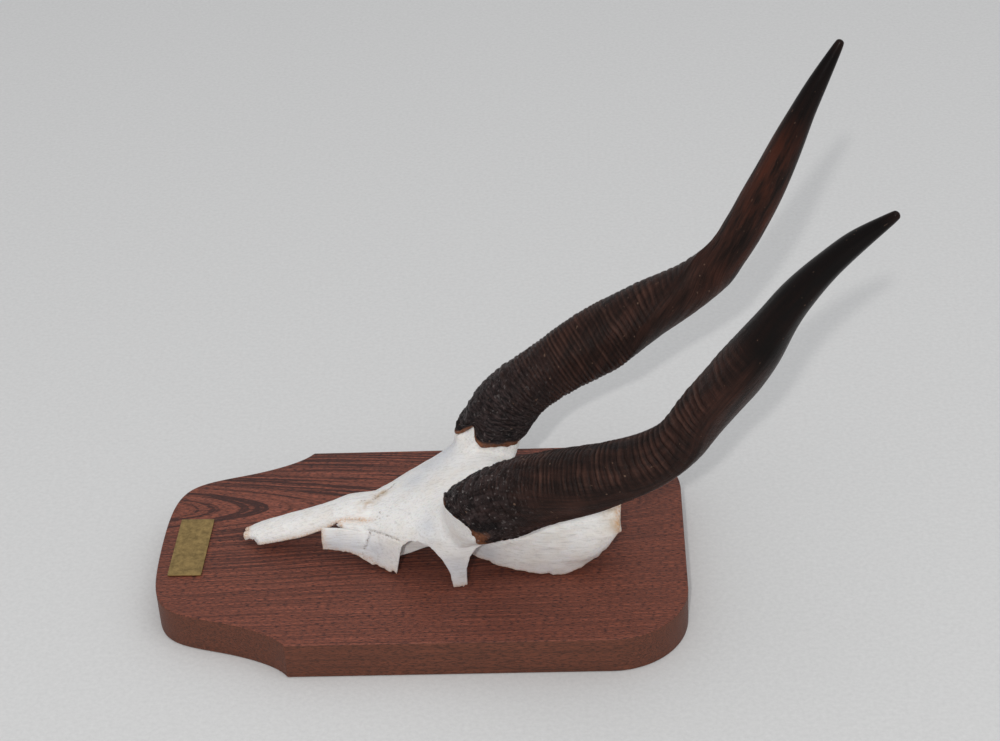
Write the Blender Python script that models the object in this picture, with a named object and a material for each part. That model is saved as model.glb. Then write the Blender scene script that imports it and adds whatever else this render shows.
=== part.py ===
"""Bushbuck skull cap with both horns, mounted on a shaped wooden plaque.

The model lies on its back as the plaque would on a table. The origin is the
centre of the plaque's back face, +Z is up out of the board, +X points to the
horn end of the board and the animal's nose points along -X. The left horn is
on the -Y side. Everything below is written in millimetres and turned to
metres when the meshes are made.
"""

from math import cos, pi, radians, sin

import bmesh
import bpy
from mathutils import Euler, Vector

MM = 0.001
GAP = 0.3

# Plaque
PLAQUE_LENGTH = 295.0
PLAQUE_WIDTH = 174.4
PLAQUE_THICKNESS = 22.5
PLAQUE_CORNER = 42.5
PLAQUE_ARRIS = 0.8
SHOULDER_X = -69.0
NECK_POINT = (-107.5, 66.5)
NECK_ANGLE = radians(16)
END_HANDLE = 56.0
NECK_HANDLES = (35.0, 12.0)
SHOULDER_ANGLE = radians(58)
SHOULDER_HANDLE = 11.5

# Brass plate, two inches by three quarters
PLATE_SIZE = (19.0, 50.8, 0.9)
PLATE_CENTRE = (-130.2, -2.0)
PLATE_TURN = radians(-1)
PLATE_ARRIS = 0.15

# Skull frame: on the board between the eye sockets, turned a little in plan
SKULL_PLACE = (33.0, -5.5)
SKULL_YAW = radians(-4)
BONE = 2.7
NASAL_BONE = 2.2
BONE_GRAIN = 0.8
BONE_SMOOTHING = 4
BONE_DETAIL = 0.019

# Half sections of the bone's outer face, from the midline (y, z) to the cut
# edge, at stations x along the skull. Heights are above the board.
FOREHEAD = (
    (-66.0, ((0, 28.6), (6, 27.8), (11, 25.6), (15.5, 23), (19, 19), (21, 14), (21.8, 8))),
    (-54.0, ((0, 33), (8, 32.2), (14, 29.8), (19, 26.2), (23, 20.5), (24.5, 12), (25, 3))),
    (-41.0, ((0, 38.5), (10, 38), (19, 36), (26, 31.5), (30, 24.5), (30.5, 13), (30.5, 1.5))),
    (-27.0, ((0, 44.5), (11, 44.2), (21, 42.5), (30, 39.5), (36, 32), (36.5, 17), (36.5, 1))),
    (-13.0, ((0, 49.5), (12, 49.2), (23, 49.5), (34, 49), (40.5, 38), (39.5, 18), (38, 0.4))),
    (-3.0, ((0, 52.5), (12, 52.2), (24, 52.5), (36, 52), (42.5, 40), (39.5, 18), (37, 0.4))),
    (8.0, ((0, 53), (12, 53), (24, 53), (36, 52), (42, 42), (38, 20), (35, 3))),
)
NASALS = (
    (-133.5, ((0, 7.4), (3.5, 6.6), (6.5, 4.4), (8.5, 1.6))),
    (-121.0, ((0, 13.4), (4.5, 12.4), (8, 9.2), (9.5, 5))),
    (-100.0, ((0, 22), (5, 21), (9, 16.8), (10.5, 11.6))),
    (-84.0, ((0, 26.4), (5.5, 25.2), (9.5, 20.8), (11.5, 16.2))),
    (-68.0, ((0, 29.8), (6, 28.8), (10.5, 25.4), (13, 20.8))),
    (-54.0, ((0, 31), (7, 29.8), (11, 26.6), (14, 22))),
)
BRAINCASE = (
    (-4.0, ((0, 51.6), (12, 51.4), (20.5, 49.5), (23, 34), (21.5, 20), (20.5, 10))),
    (12.0, ((0, 52.4), (13, 50.8), (22.5, 43), (25.2, 29), (25, 15), (23.5, 5))),
    (30.0, ((0, 51), (14.5, 48), (24.5, 39), (28.5, 26), (28, 14), (25.5, 2))),
    (47.0, ((0, 48.5), (14, 45.5), (24.5, 37), (28.5, 26), (28, 13), (24.5, 0.4))),
    (61.0, ((0, 46.5), (12, 44), (22, 36), (26.5, 25), (26, 13), (22, 3))),
    (72.0, ((0, 45), (10, 43), (19, 36), (23.5, 25), (23, 16), (20, 11))),
    (79.0, ((0, 43.5), (9, 41.8), (15, 38), (19, 33), (20, 29), (19.5, 26))),
    (79.8, ((0, 37), (7, 36), (12, 33), (15, 29), (15.5, 26), (15, 24))),
    (76.0, ((0, 22), (3, 22), (6, 22), (9, 21.5), (9.5, 20.5), (9, 19.5))),
)

# Cheek flap ahead of the left socket: outer face from its top to its cut edge
CHEEK = (
    (-85.0, ((18.5, 24.8), (20, 18), (20, 10.6))),
    (-72.0, ((19, 24.6), (21, 17), (21.2, 9.6))),
    (-58.0, ((19, 22.6), (22, 16), (23, 8))),
)

# Side outlines (x, z) of what is cut away right across the skull
SOCKET = ((-44, -4), (-41, 12), (-38.5, 23), (-34, 28), (-28, 30.2), (-21.5, 28.5), (-15.5, 21),
          (-11.5, 11), (-10, -4))
BAR_REAR = ((-3, -4), (-2.5, 14), (0, 24), (4, 31), (12, 36), (12, -4))
SOCKET_WALL = ((-46, 4.5), (-22, 14.5), (-14, 24), (-14, 47), (-40, 34.5), (-46, 26.5))
SOCKET_WALL_Y = 17.0
SOCKET_WALL_THICK = 2.2
NOSE_BITE_PLACE = (-133.5, 12.4)
NOSE_BITE_SIZE = (11.0, 8.0)
NOSE_NOTCH = (5.0, 1.1)
NOTCH_END = 0.1

# Horns: path points from base to tip, and half the sheath's width there
LEFT_PATH = (
    (37, -46.8, 78.3), (65, -65, 104), (105, -85, 129), (135, -93, 150), (153, -95, 175),
    (174, -104, 211), (193, -108, 245), (214, -113, 273), (236.6, -120, 294.6),
)
RIGHT_PATH = (
    (42, 30.5, 80), (54, 34, 96), (75, 38, 111), (123, 48, 138), (155, 48, 159),
    (173, 44, 181), (192, 47, 216), (212, 48, 264), (229.3, 53, 298),
)
HORN_WIDTH = (
    (0.0, 16.6), (0.04, 17.6), (0.16, 17.2), (0.28, 16.4), (0.38, 14.3), (0.47, 12.2),
    (0.54, 10.9), (0.63, 9.2), (0.75, 6.6), (0.875, 4.2), (0.97, 2.2), (1.0, 1.2),
)
KEEL_HEIGHT = ((0.0, 0.12), (0.16, 0.2), (0.45, 0.26), (0.65, 0.24), (0.85, 0.12), (1.0, 0.0))
KEEL_TURN_TIP = radians(12)
KEEL_TURN_BASE = radians(262)
KEEL_TURN_END = {-1: 0.72, 1: 0.66}
RIDGE_PITCH = 6.8
RIDGE_HEIGHT = 0.5
RIDGES_END = 0.56
HORN_SIDES = 14
HORN_STEP = 3.4
BASE_RAKE = 12.0
BASE_RAKE_TURN = radians(30)
BASE_RAKE_END = 42.0

# Bone stumps under the horns: a seat inside the skull, beside the midline
STUMP_SEAT = (-7.0, 25.0, 33.0)
STUMP_SEAT_RADIUS = 17.0
STUMP_TOP = 0.97
STUMP_GAP = 0.6


def material(name, colour, roughness, metallic=0.0):
    """A Principled material of one colour."""
    result = bpy.data.materials.new(name)
    result.use_nodes = True
    shader = result.node_tree.nodes["Principled BSDF"]
    shader.inputs["Base Color"].default_value = (*colour, 1.0)
    shader.inputs["Roughness"].default_value = roughness
    shader.inputs["Metallic"].default_value = metallic
    return result


def add_object(name, points, faces, finish=None, parent=None):
    """A mesh object from points in millimetres, its faces turned outwards."""
    mesh = bpy.data.meshes.new(name)
    mesh.from_pydata([Vector(point) * MM for point in points], [], faces)
    shape = bmesh.new()
    shape.from_mesh(mesh)
    bmesh.ops.recalc_face_normals(shape, faces=shape.faces)
    shape.to_mesh(mesh)
    shape.free()
    result = bpy.data.objects.new(name, mesh)
    bpy.context.scene.collection.objects.link(result)
    if finish:
        mesh.materials.append(finish)
    result.parent = parent
    return result


def guide(item):
    """Marks an object that only shapes another."""
    item.hide_render = True
    item.display_type = "WIRE"
    return item


def combine(target, other, operation):
    """Joins or cuts the target by another closed object.

    The curved sheets of bone meet at such shallow angles that the exact
    solver leaves holes, so these steps use the one for closed meshes.
    """
    step = target.modifiers.new(other.name, "BOOLEAN")
    step.operation = operation
    step.object = other
    step.solver = "MANIFOLD"


def between(table, at):
    """A value read from a short table of (place, value)."""
    for (x0, y0), (x1, y1) in zip(table, table[1:]):
        if at <= x1:
            t = (at - x0) / (x1 - x0)
            return y0 + (y1 - y0) * t
    return table[-1][1]


def smooth_path(points, steps):
    """A curve through the points, with a number of steps between each two."""
    points = [Vector(point) for point in points]
    ends = [points[0] * 2 - points[1], *points, points[-1] * 2 - points[-2]]
    curve = []
    for a, b, c, d in zip(ends, ends[1:], ends[2:], ends[3:]):
        for step in range(steps):
            t = step / steps
            curve.append(
                (b * 2 + (c - a) * t + (a * 2 - b * 5 + c * 4 - d) * t**2
                 + (b * 3 - a - c * 3 + d) * t**3) / 2
            )
    return [*curve, points[-1]]


def even_path(curve, step):
    """The same curve with points an even step apart, and its length."""
    lengths = [0.0]
    for a, b in zip(curve, curve[1:]):
        lengths.append(lengths[-1] + (b - a).length)
    count = round(lengths[-1] / step)
    result, place = [], 0
    for index in range(count + 1):
        goal = lengths[-1] * index / count
        while place < len(lengths) - 2 and lengths[place + 1] < goal:
            place += 1
        share = (goal - lengths[place]) / (lengths[place + 1] - lengths[place])
        result.append(curve[place].lerp(curve[place + 1], share))
    return result, lengths[-1]


def bezier(a, b, c, d, steps):
    """Points along one cubic curve, without its last."""
    result = []
    for step in range(steps):
        t = step / steps
        result.append(a * (1 - t)**3 + b * 3 * t * (1 - t)**2 + c * 3 * t**2 * (1 - t) + d * t**3)
    return result


def heading(angle, length):
    """A plan vector of a length at an angle."""
    return Vector((cos(angle), sin(angle))) * length


def plaque_outline():
    """The board's plan outline: a rounded end, a neck, two shoulders, two round corners."""
    half_length, half_width = PLAQUE_LENGTH / 2, PLAQUE_WIDTH / 2
    end = Vector((-half_length, 0))
    neck = Vector(NECK_POINT)
    shoulder = Vector((SHOULDER_X, half_width))
    side = bezier(end, end + Vector((0, END_HANDLE)), neck - heading(NECK_ANGLE, NECK_HANDLES[0]),
                  neck, 18)
    side += bezier(neck, neck + heading(NECK_ANGLE, NECK_HANDLES[1]),
                   shoulder - heading(SHOULDER_ANGLE, SHOULDER_HANDLE), shoulder, 8)
    side.append(shoulder)
    centre = Vector((half_length - PLAQUE_CORNER, half_width - PLAQUE_CORNER))
    for step in range(13):
        side.append(centre + heading(pi / 2 - pi / 2 * step / 12, PLAQUE_CORNER))
    mirrored = [Vector((point.x, -point.y)) for point in reversed(side[1:])]
    return side + mirrored


def prism(name, outline, low, high, axis="Z", parent=None, finish=None):
    """A straight prism from an outline, along Z or along Y."""
    count = len(outline)
    if axis == "Z":
        points = [(x, y, z) for z in (low, high) for x, y in outline]
    else:
        points = [(x, y, z) for y in (low, high) for x, z in outline]
    faces = [tuple(range(count)), tuple(range(count, 2 * count))]
    for index in range(count):
        after = (index + 1) % count
        faces.append((index, after, after + count, index + count))
    return add_object(name, points, faces, finish, parent)


def ease_edges(item, width, angle=radians(40)):
    """A small rounding of the sharp edges."""
    step = item.modifiers.new("eased edges", "BEVEL")
    step.width = width * MM
    step.segments = 1
    step.angle_limit = angle


def build_plaque():
    """The board, lying on its back face."""
    wood = material("reddish brown hardwood", (0.13, 0.045, 0.03), 0.45)
    board = prism("plaque", plaque_outline(), 0, PLAQUE_THICKNESS, finish=wood)
    ease_edges(board, PLAQUE_ARRIS)


def build_name_plate():
    """The bare brass plate near the nose end of the board."""
    brass = material("dull brass", (0.34, 0.25, 0.09), 0.35, 1.0)
    width, height, thickness = PLATE_SIZE
    corners = ((-width / 2, -height / 2), (width / 2, -height / 2),
               (width / 2, height / 2), (-width / 2, height / 2))
    plate = prism("name_plate", corners, 0, thickness, finish=brass)
    plate.location = Vector((*PLATE_CENTRE, PLAQUE_THICKNESS + GAP)) * MM
    plate.rotation_euler.z = PLATE_TURN
    ease_edges(plate, PLATE_ARRIS)


def section_grid(stations, across, along):
    """A grid of points over the right half of a bone sheet, from its half sections.

    Each half section becomes a smooth line, and the lines become smooth
    strips from station to station.
    """
    lines = [smooth_path([(x, y, z) for y, z in half], across) for x, half in stations]
    columns = [smooth_path(column, along) for column in zip(*lines)]
    return [list(row) for row in zip(*columns)]


def flipped(row):
    """The same points on the other side of the midline."""
    return [Vector((point.x, -point.y, point.z)) for point in row]


def both_sides(grid):
    """The grid carried over the midline to the left half."""
    return [flipped(row[:0:-1]) + row for row in grid]


def grid_faces(rows, columns):
    """Quads between the points of a grid."""
    return [
        (r * columns + c, r * columns + c + 1, (r + 1) * columns + c + 1, (r + 1) * columns + c)
        for r in range(rows - 1)
        for c in range(columns - 1)
    ]


def bone_sheet(name, grid, thickness, frame, finish=None, hand=1):
    """A closed sheet of bone: the grid is its outer face and the thickness goes inwards."""
    rows, columns = len(grid), len(grid[0])
    points = [point for row in grid for point in row]
    inner = []
    for r in range(rows):
        for c in range(columns):
            along = grid[min(r + 1, rows - 1)][c] - grid[max(r - 1, 0)][c]
            over = grid[r][min(c + 1, columns - 1)] - grid[r][max(c - 1, 0)]
            inner.append(grid[r][c] + over.cross(along).normalized() * thickness * hand)
    outer_faces = grid_faces(rows, columns)
    count = len(points)
    inner_faces = [tuple(index + count for index in reversed(face)) for face in outer_faces]
    rim = [c for c in range(columns)]
    rim += [r * columns + columns - 1 for r in range(1, rows)]
    rim += [(rows - 1) * columns + c for c in range(columns - 2, -1, -1)]
    rim += [r * columns for r in range(rows - 2, 0, -1)]
    rim_faces = []
    for a, b in zip(rim, rim[1:] + rim[:1]):
        rim_faces.append((b, a, a + count, b + count))
    return add_object(name, points + inner, outer_faces + inner_faces + rim_faces, finish, frame)


def grow_together(item):
    """Turns joined sheets into one skin of bone with soft edges, in few faces."""
    skin = item.modifiers.new("one skin", "REMESH")
    skin.mode = "VOXEL"
    skin.voxel_size = BONE_GRAIN * MM
    soft = item.modifiers.new("soft edges", "SMOOTH")
    soft.iterations = BONE_SMOOTHING
    few = item.modifiers.new("few faces", "DECIMATE")
    few.ratio = BONE_DETAIL


def horn_frame(path):
    """Tangents and untwisting side vectors along a horn's path."""
    tangents = []
    for index in range(len(path)):
        ahead = path[min(index + 1, len(path) - 1)] - path[max(index - 1, 0)]
        tangents.append(ahead.normalized())
    side = Vector((-1, 0, 0.6))
    frame = []
    for tangent in tangents:
        side = (side - tangent * side.dot(tangent)).normalized()
        frame.append((tangent, side.copy(), tangent.cross(side)))
    return frame


def horn_radius(share, distance, angle):
    """The sheath's radius at a share of the length, with its two keels and its ridges."""
    radius = between(HORN_WIDTH, share)
    radius *= 1 + between(KEEL_HEIGHT, share) * abs(cos(angle))**4
    fade = max(0.0, min(1.0, (RIDGES_END - share) / 0.2, (distance + 1) / 6))
    return radius + RIDGE_HEIGHT * fade * cos(2 * pi * distance / RIDGE_PITCH)


def base_rake(distance, angle, hand):
    """How far a ring point near the base slides along the horn, so the rim dips in front."""
    fade = max(0.0, 1 - distance / BASE_RAKE_END)
    return -BASE_RAKE * cos(angle - hand * BASE_RAKE_TURN) * fade * fade


def tube(name, rings, finish=None):
    """A closed skin over a row of rings with equal numbers of points."""
    sides = len(rings[0])
    faces = []
    for ring in range(len(rings) - 1):
        for corner in range(sides):
            after = (corner + 1) % sides
            a, b = ring * sides + corner, ring * sides + after
            faces.append((a, b, b + sides, a + sides))
    last = (len(rings) - 1) * sides
    faces.append(tuple(range(sides)))
    faces.append(tuple(last + corner for corner in range(sides)))
    return add_object(name, [point for ring in rings for point in ring], faces, finish)


def build_horn(name, points, hand, finish):
    """One spiral horn sheath. The hand is 1 for the right horn and -1 for the left."""
    path, length = even_path(smooth_path(points, 24), HORN_STEP)
    frame = horn_frame(path)
    rings = []
    for index, (centre, (tangent, side, other)) in enumerate(zip(path, frame)):
        share = index / (len(path) - 1)
        run = min(share / KEEL_TURN_END[hand], 1)
        turned = run * run * (3 - 2 * run)
        keel = hand * (KEEL_TURN_BASE + (KEEL_TURN_TIP - KEEL_TURN_BASE) * turned)
        ring = []
        for corner in range(HORN_SIDES):
            angle = 2 * pi * corner / HORN_SIDES
            radius = horn_radius(share, share * length, angle - keel)
            slide = base_rake(share * length, angle, hand)
            ring.append(centre + tangent * slide
                        + (side * cos(angle) + other * sin(angle)) * radius)
        rings.append(ring)
    tube(name, rings, finish).data.shade_smooth()
    return path[0], frame[0], rings[0]


def build_stump(name, base, hand):
    """The bone stump that carries a horn, a gap below the sheath's base face."""
    centre, (tangent, _, _), rim = base
    x, y, z = STUMP_SEAT
    seat = Vector((x, y * hand, z))
    seat.rotate(Euler((0, 0, SKULL_YAW)))
    seat += Vector((*SKULL_PLACE, PLAQUE_THICKNESS))
    top = [centre + (point - centre) * STUMP_TOP - tangent * STUMP_GAP for point in rim]
    low = []
    for corner in range(len(rim)):
        angle = 2 * pi * corner / len(rim)
        low.append(seat + Vector((-cos(angle), -sin(angle), 0)) * STUMP_SEAT_RADIUS)
    middle = [(a + b) / 2 for a, b in zip(top, low)]
    return guide(tube(name, [low, middle, top]))


def build_skull(horns):
    """The cut skull as one piece of bone."""
    bone = material("bleached bone", (0.82, 0.8, 0.74), 0.6)
    frame = bpy.data.objects.new("skull frame", None)
    frame.location = Vector((*SKULL_PLACE, PLAQUE_THICKNESS)) * MM
    frame.rotation_euler.z = SKULL_YAW
    bpy.context.scene.collection.objects.link(frame)

    forehead = both_sides(section_grid(FOREHEAD, 3, 4))
    skull = bone_sheet("skull", forehead, BONE, frame, bone)
    combine(skull, guide(prism("socket", SOCKET, -60, 60, "Y", frame)), "DIFFERENCE")
    combine(skull, guide(prism("bar rear", BAR_REAR, -60, 60, "Y", frame)), "DIFFERENCE")
    nasals = guide(bone_sheet("nasals", both_sides(section_grid(NASALS, 3, 3)), NASAL_BONE, frame))
    for side in (-1, 1):
        bite = [(NOSE_BITE_PLACE[0] + NOSE_BITE_SIZE[0] * cos(2 * pi * k / 16),
                 side * NOSE_BITE_PLACE[1] + NOSE_BITE_SIZE[1] * sin(2 * pi * k / 16))
                for k in range(16)]
        combine(nasals, guide(prism(f"nose bite {side}", bite, -5, 30, "Z", frame)), "DIFFERENCE")
    depth, half = NOSE_NOTCH
    tip = NASALS[0][0]
    notch = ((tip - half, -half), (tip + depth, -NOTCH_END), (tip + depth, NOTCH_END),
             (tip - half, half))
    combine(nasals, guide(prism("nose notch", notch, -5, 30, "Z", frame)), "DIFFERENCE")
    combine(skull, nasals, "UNION")
    cap = guide(bone_sheet("braincase", both_sides(section_grid(BRAINCASE, 3, 3)), BONE, frame))
    combine(skull, cap, "UNION")
    cheek = [flipped(row) for row in section_grid(CHEEK, 3, 3)]
    combine(skull, guide(bone_sheet("cheek", cheek, NASAL_BONE, frame, hand=-1)), "UNION")
    for side in (-1, 1):
        inner = side * SOCKET_WALL_Y
        wall = prism(f"socket wall {side}", SOCKET_WALL, inner - SOCKET_WALL_THICK / 2,
                     inner + SOCKET_WALL_THICK / 2, "Y", frame)
        combine(skull, guide(wall), "UNION")
    for hand, base in horns.items():
        combine(skull, build_stump(f"stump {hand}", base, hand), "UNION")
    grow_together(skull)


def main():
    """Builds every piece."""
    for item in list(bpy.data.objects):
        bpy.data.objects.remove(item)
    horn = material("dark horn", (0.03, 0.018, 0.014), 0.42)
    build_plaque()
    build_name_plate()
    left = build_horn("horn_left", LEFT_PATH, -1, horn)
    right = build_horn("horn_right", RIGHT_PATH, 1, horn)
    build_skull({-1: left, 1: right})


main()
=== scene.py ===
"""Looks of a bushbuck skull cap with both horns on a shaped wooden plaque.

Sizes and places are written in millimetres in the frame of the solid model:
the origin is the centre of the board's back face, +Z is up out of the board,
+X points to the horn end and the animal's nose points along -X. The left horn
is on the -Y side. Meshes are turned to metres when they are made.
"""

import logging
from dataclasses import dataclass, field
from enum import Enum
from functools import partial
from math import cos, pi, radians, sin, tau

import bmesh
import bpy
import numpy as np
from bpy.types import ID, Material, Node, NodeSocket, NodeTree, Object
from mathutils import Matrix, Vector
from mathutils.kdtree import KDTree

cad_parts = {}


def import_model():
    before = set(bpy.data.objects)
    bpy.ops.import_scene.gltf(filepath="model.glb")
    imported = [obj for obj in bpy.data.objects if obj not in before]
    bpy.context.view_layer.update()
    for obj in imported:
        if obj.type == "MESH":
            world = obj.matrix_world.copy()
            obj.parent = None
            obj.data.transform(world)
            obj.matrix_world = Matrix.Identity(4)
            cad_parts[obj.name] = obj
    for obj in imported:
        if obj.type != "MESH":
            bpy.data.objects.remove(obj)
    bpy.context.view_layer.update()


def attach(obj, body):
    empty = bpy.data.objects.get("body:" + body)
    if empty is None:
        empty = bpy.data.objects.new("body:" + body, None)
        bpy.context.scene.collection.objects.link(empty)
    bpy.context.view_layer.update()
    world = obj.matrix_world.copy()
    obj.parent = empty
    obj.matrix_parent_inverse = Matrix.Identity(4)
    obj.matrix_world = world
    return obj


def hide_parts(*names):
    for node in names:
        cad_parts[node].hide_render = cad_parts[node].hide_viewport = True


MM = 0.001
BODY = "root"
# The inputs that rows of noise and range nodes give values to
NOISE = ("Vector", "Scale", "Detail", "Roughness", "Distortion")
RANGE = ("Value", "From Min", "From Max", "To Min", "To Max")
log = logging.getLogger("bushbuck")


class Hand(Enum):
    """The animal's own left or right side."""

    LEFT = -1
    RIGHT = 1


class Slot(Enum):
    """Material slots of the record."""

    WOOD = "hardwood"
    BRASS = "brass_plate"
    BONE = "bone"
    HORN = "horn"


# ---- Colour and shader nodes


def linear(code: str) -> tuple[float, float, float, float]:
    """Turns an sRGB hex colour into linear values for a shader.

    Args:
        code: Six hex digits after a hash.

    Returns:
        Red, green, blue and a full alpha.
    """
    values = [int(code[i:i + 2], 16) / 255 for i in (1, 3, 5)]
    toned = [v / 12.92 if v <= 0.04045 else ((v + 0.055) / 1.055) ** 2.4 for v in values]
    return (*toned, 1.0)


def set_inputs(node: Node, inputs: dict) -> None:
    """Links a node's inputs or sets their values.

    Args:
        node: The node.
        inputs: Values, output sockets, or nodes that stand for their first
            output, by the name or place of the input.
    """
    for name, value in inputs.items():
        if isinstance(value, Node):
            value = value.outputs[0]
        if isinstance(value, NodeSocket):
            node.id_data.links.new(value, node.inputs[name])
        else:
            node.inputs[name].default_value = value


def add_node(tree: NodeTree, kind: str, inputs: dict | None = None,
             stops: list | None = None, **settings: object) -> Node:
    """Adds one node with its settings and links.

    Args:
        tree: The node tree it goes into.
        kind: The node's type, without the common first word.
        inputs: What set_inputs() takes.
        stops: For a colour ramp, its (place, colour) pairs.
        **settings: The node's own properties.

    Returns:
        The new node.
    """
    node = tree.nodes.new("ShaderNode" + kind)
    for name, value in settings.items():
        setattr(node, name, value)
    set_inputs(node, inputs or {})
    if stops:
        ramp = node.color_ramp
        while len(ramp.elements) > 1:
            ramp.elements.remove(ramp.elements[-1])
        ramp.elements[0].position = stops[0][0]
        ramp.elements[0].color = stops[0][1]
        for place, colour in stops[1:]:
            ramp.elements.new(place).color = colour
    return node


def greys(*pairs: tuple[float, float]) -> list:
    """Stops for a ramp that carries a number: (place, value) pairs."""
    return [(place, (value, value, value, 1.0)) for place, value in pairs]


def per(*sizes: float) -> tuple[float, ...]:
    """The scale of a pattern along each axis, from its sizes."""
    return tuple(1 / size for size in sizes)


def add_rows(add: partial, kind: str, keys: tuple, *rows: tuple, **settings: object) -> list:
    """Adds several nodes of one kind.

    Args:
        add: add_node() for one tree.
        kind: Their type.
        keys: The inputs that the rows give values to; a short row leaves the last out.
        *rows: For each node, its values.
        **settings: Properties that they share.

    Returns:
        The nodes, in the rows' order.
    """
    return [add(kind, dict(zip(keys, row)), **settings) for row in rows]


# ---- Finishes


class Finish:
    """What every finish shares: a material with one Principled shader."""

    name: str

    def surface(self, add: partial) -> dict:
        """Adds the finish's nodes and returns the shader's inputs."""
        raise NotImplementedError

    def build(self) -> Material:
        """Builds the material.

        Returns:
            The finished material.
        """
        material = bpy.data.materials.new(self.name)
        material.use_nodes = True
        tree = material.node_tree
        set_inputs(tree.nodes["Principled BSDF"], self.surface(partial(add_node, tree)))
        return material


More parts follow.
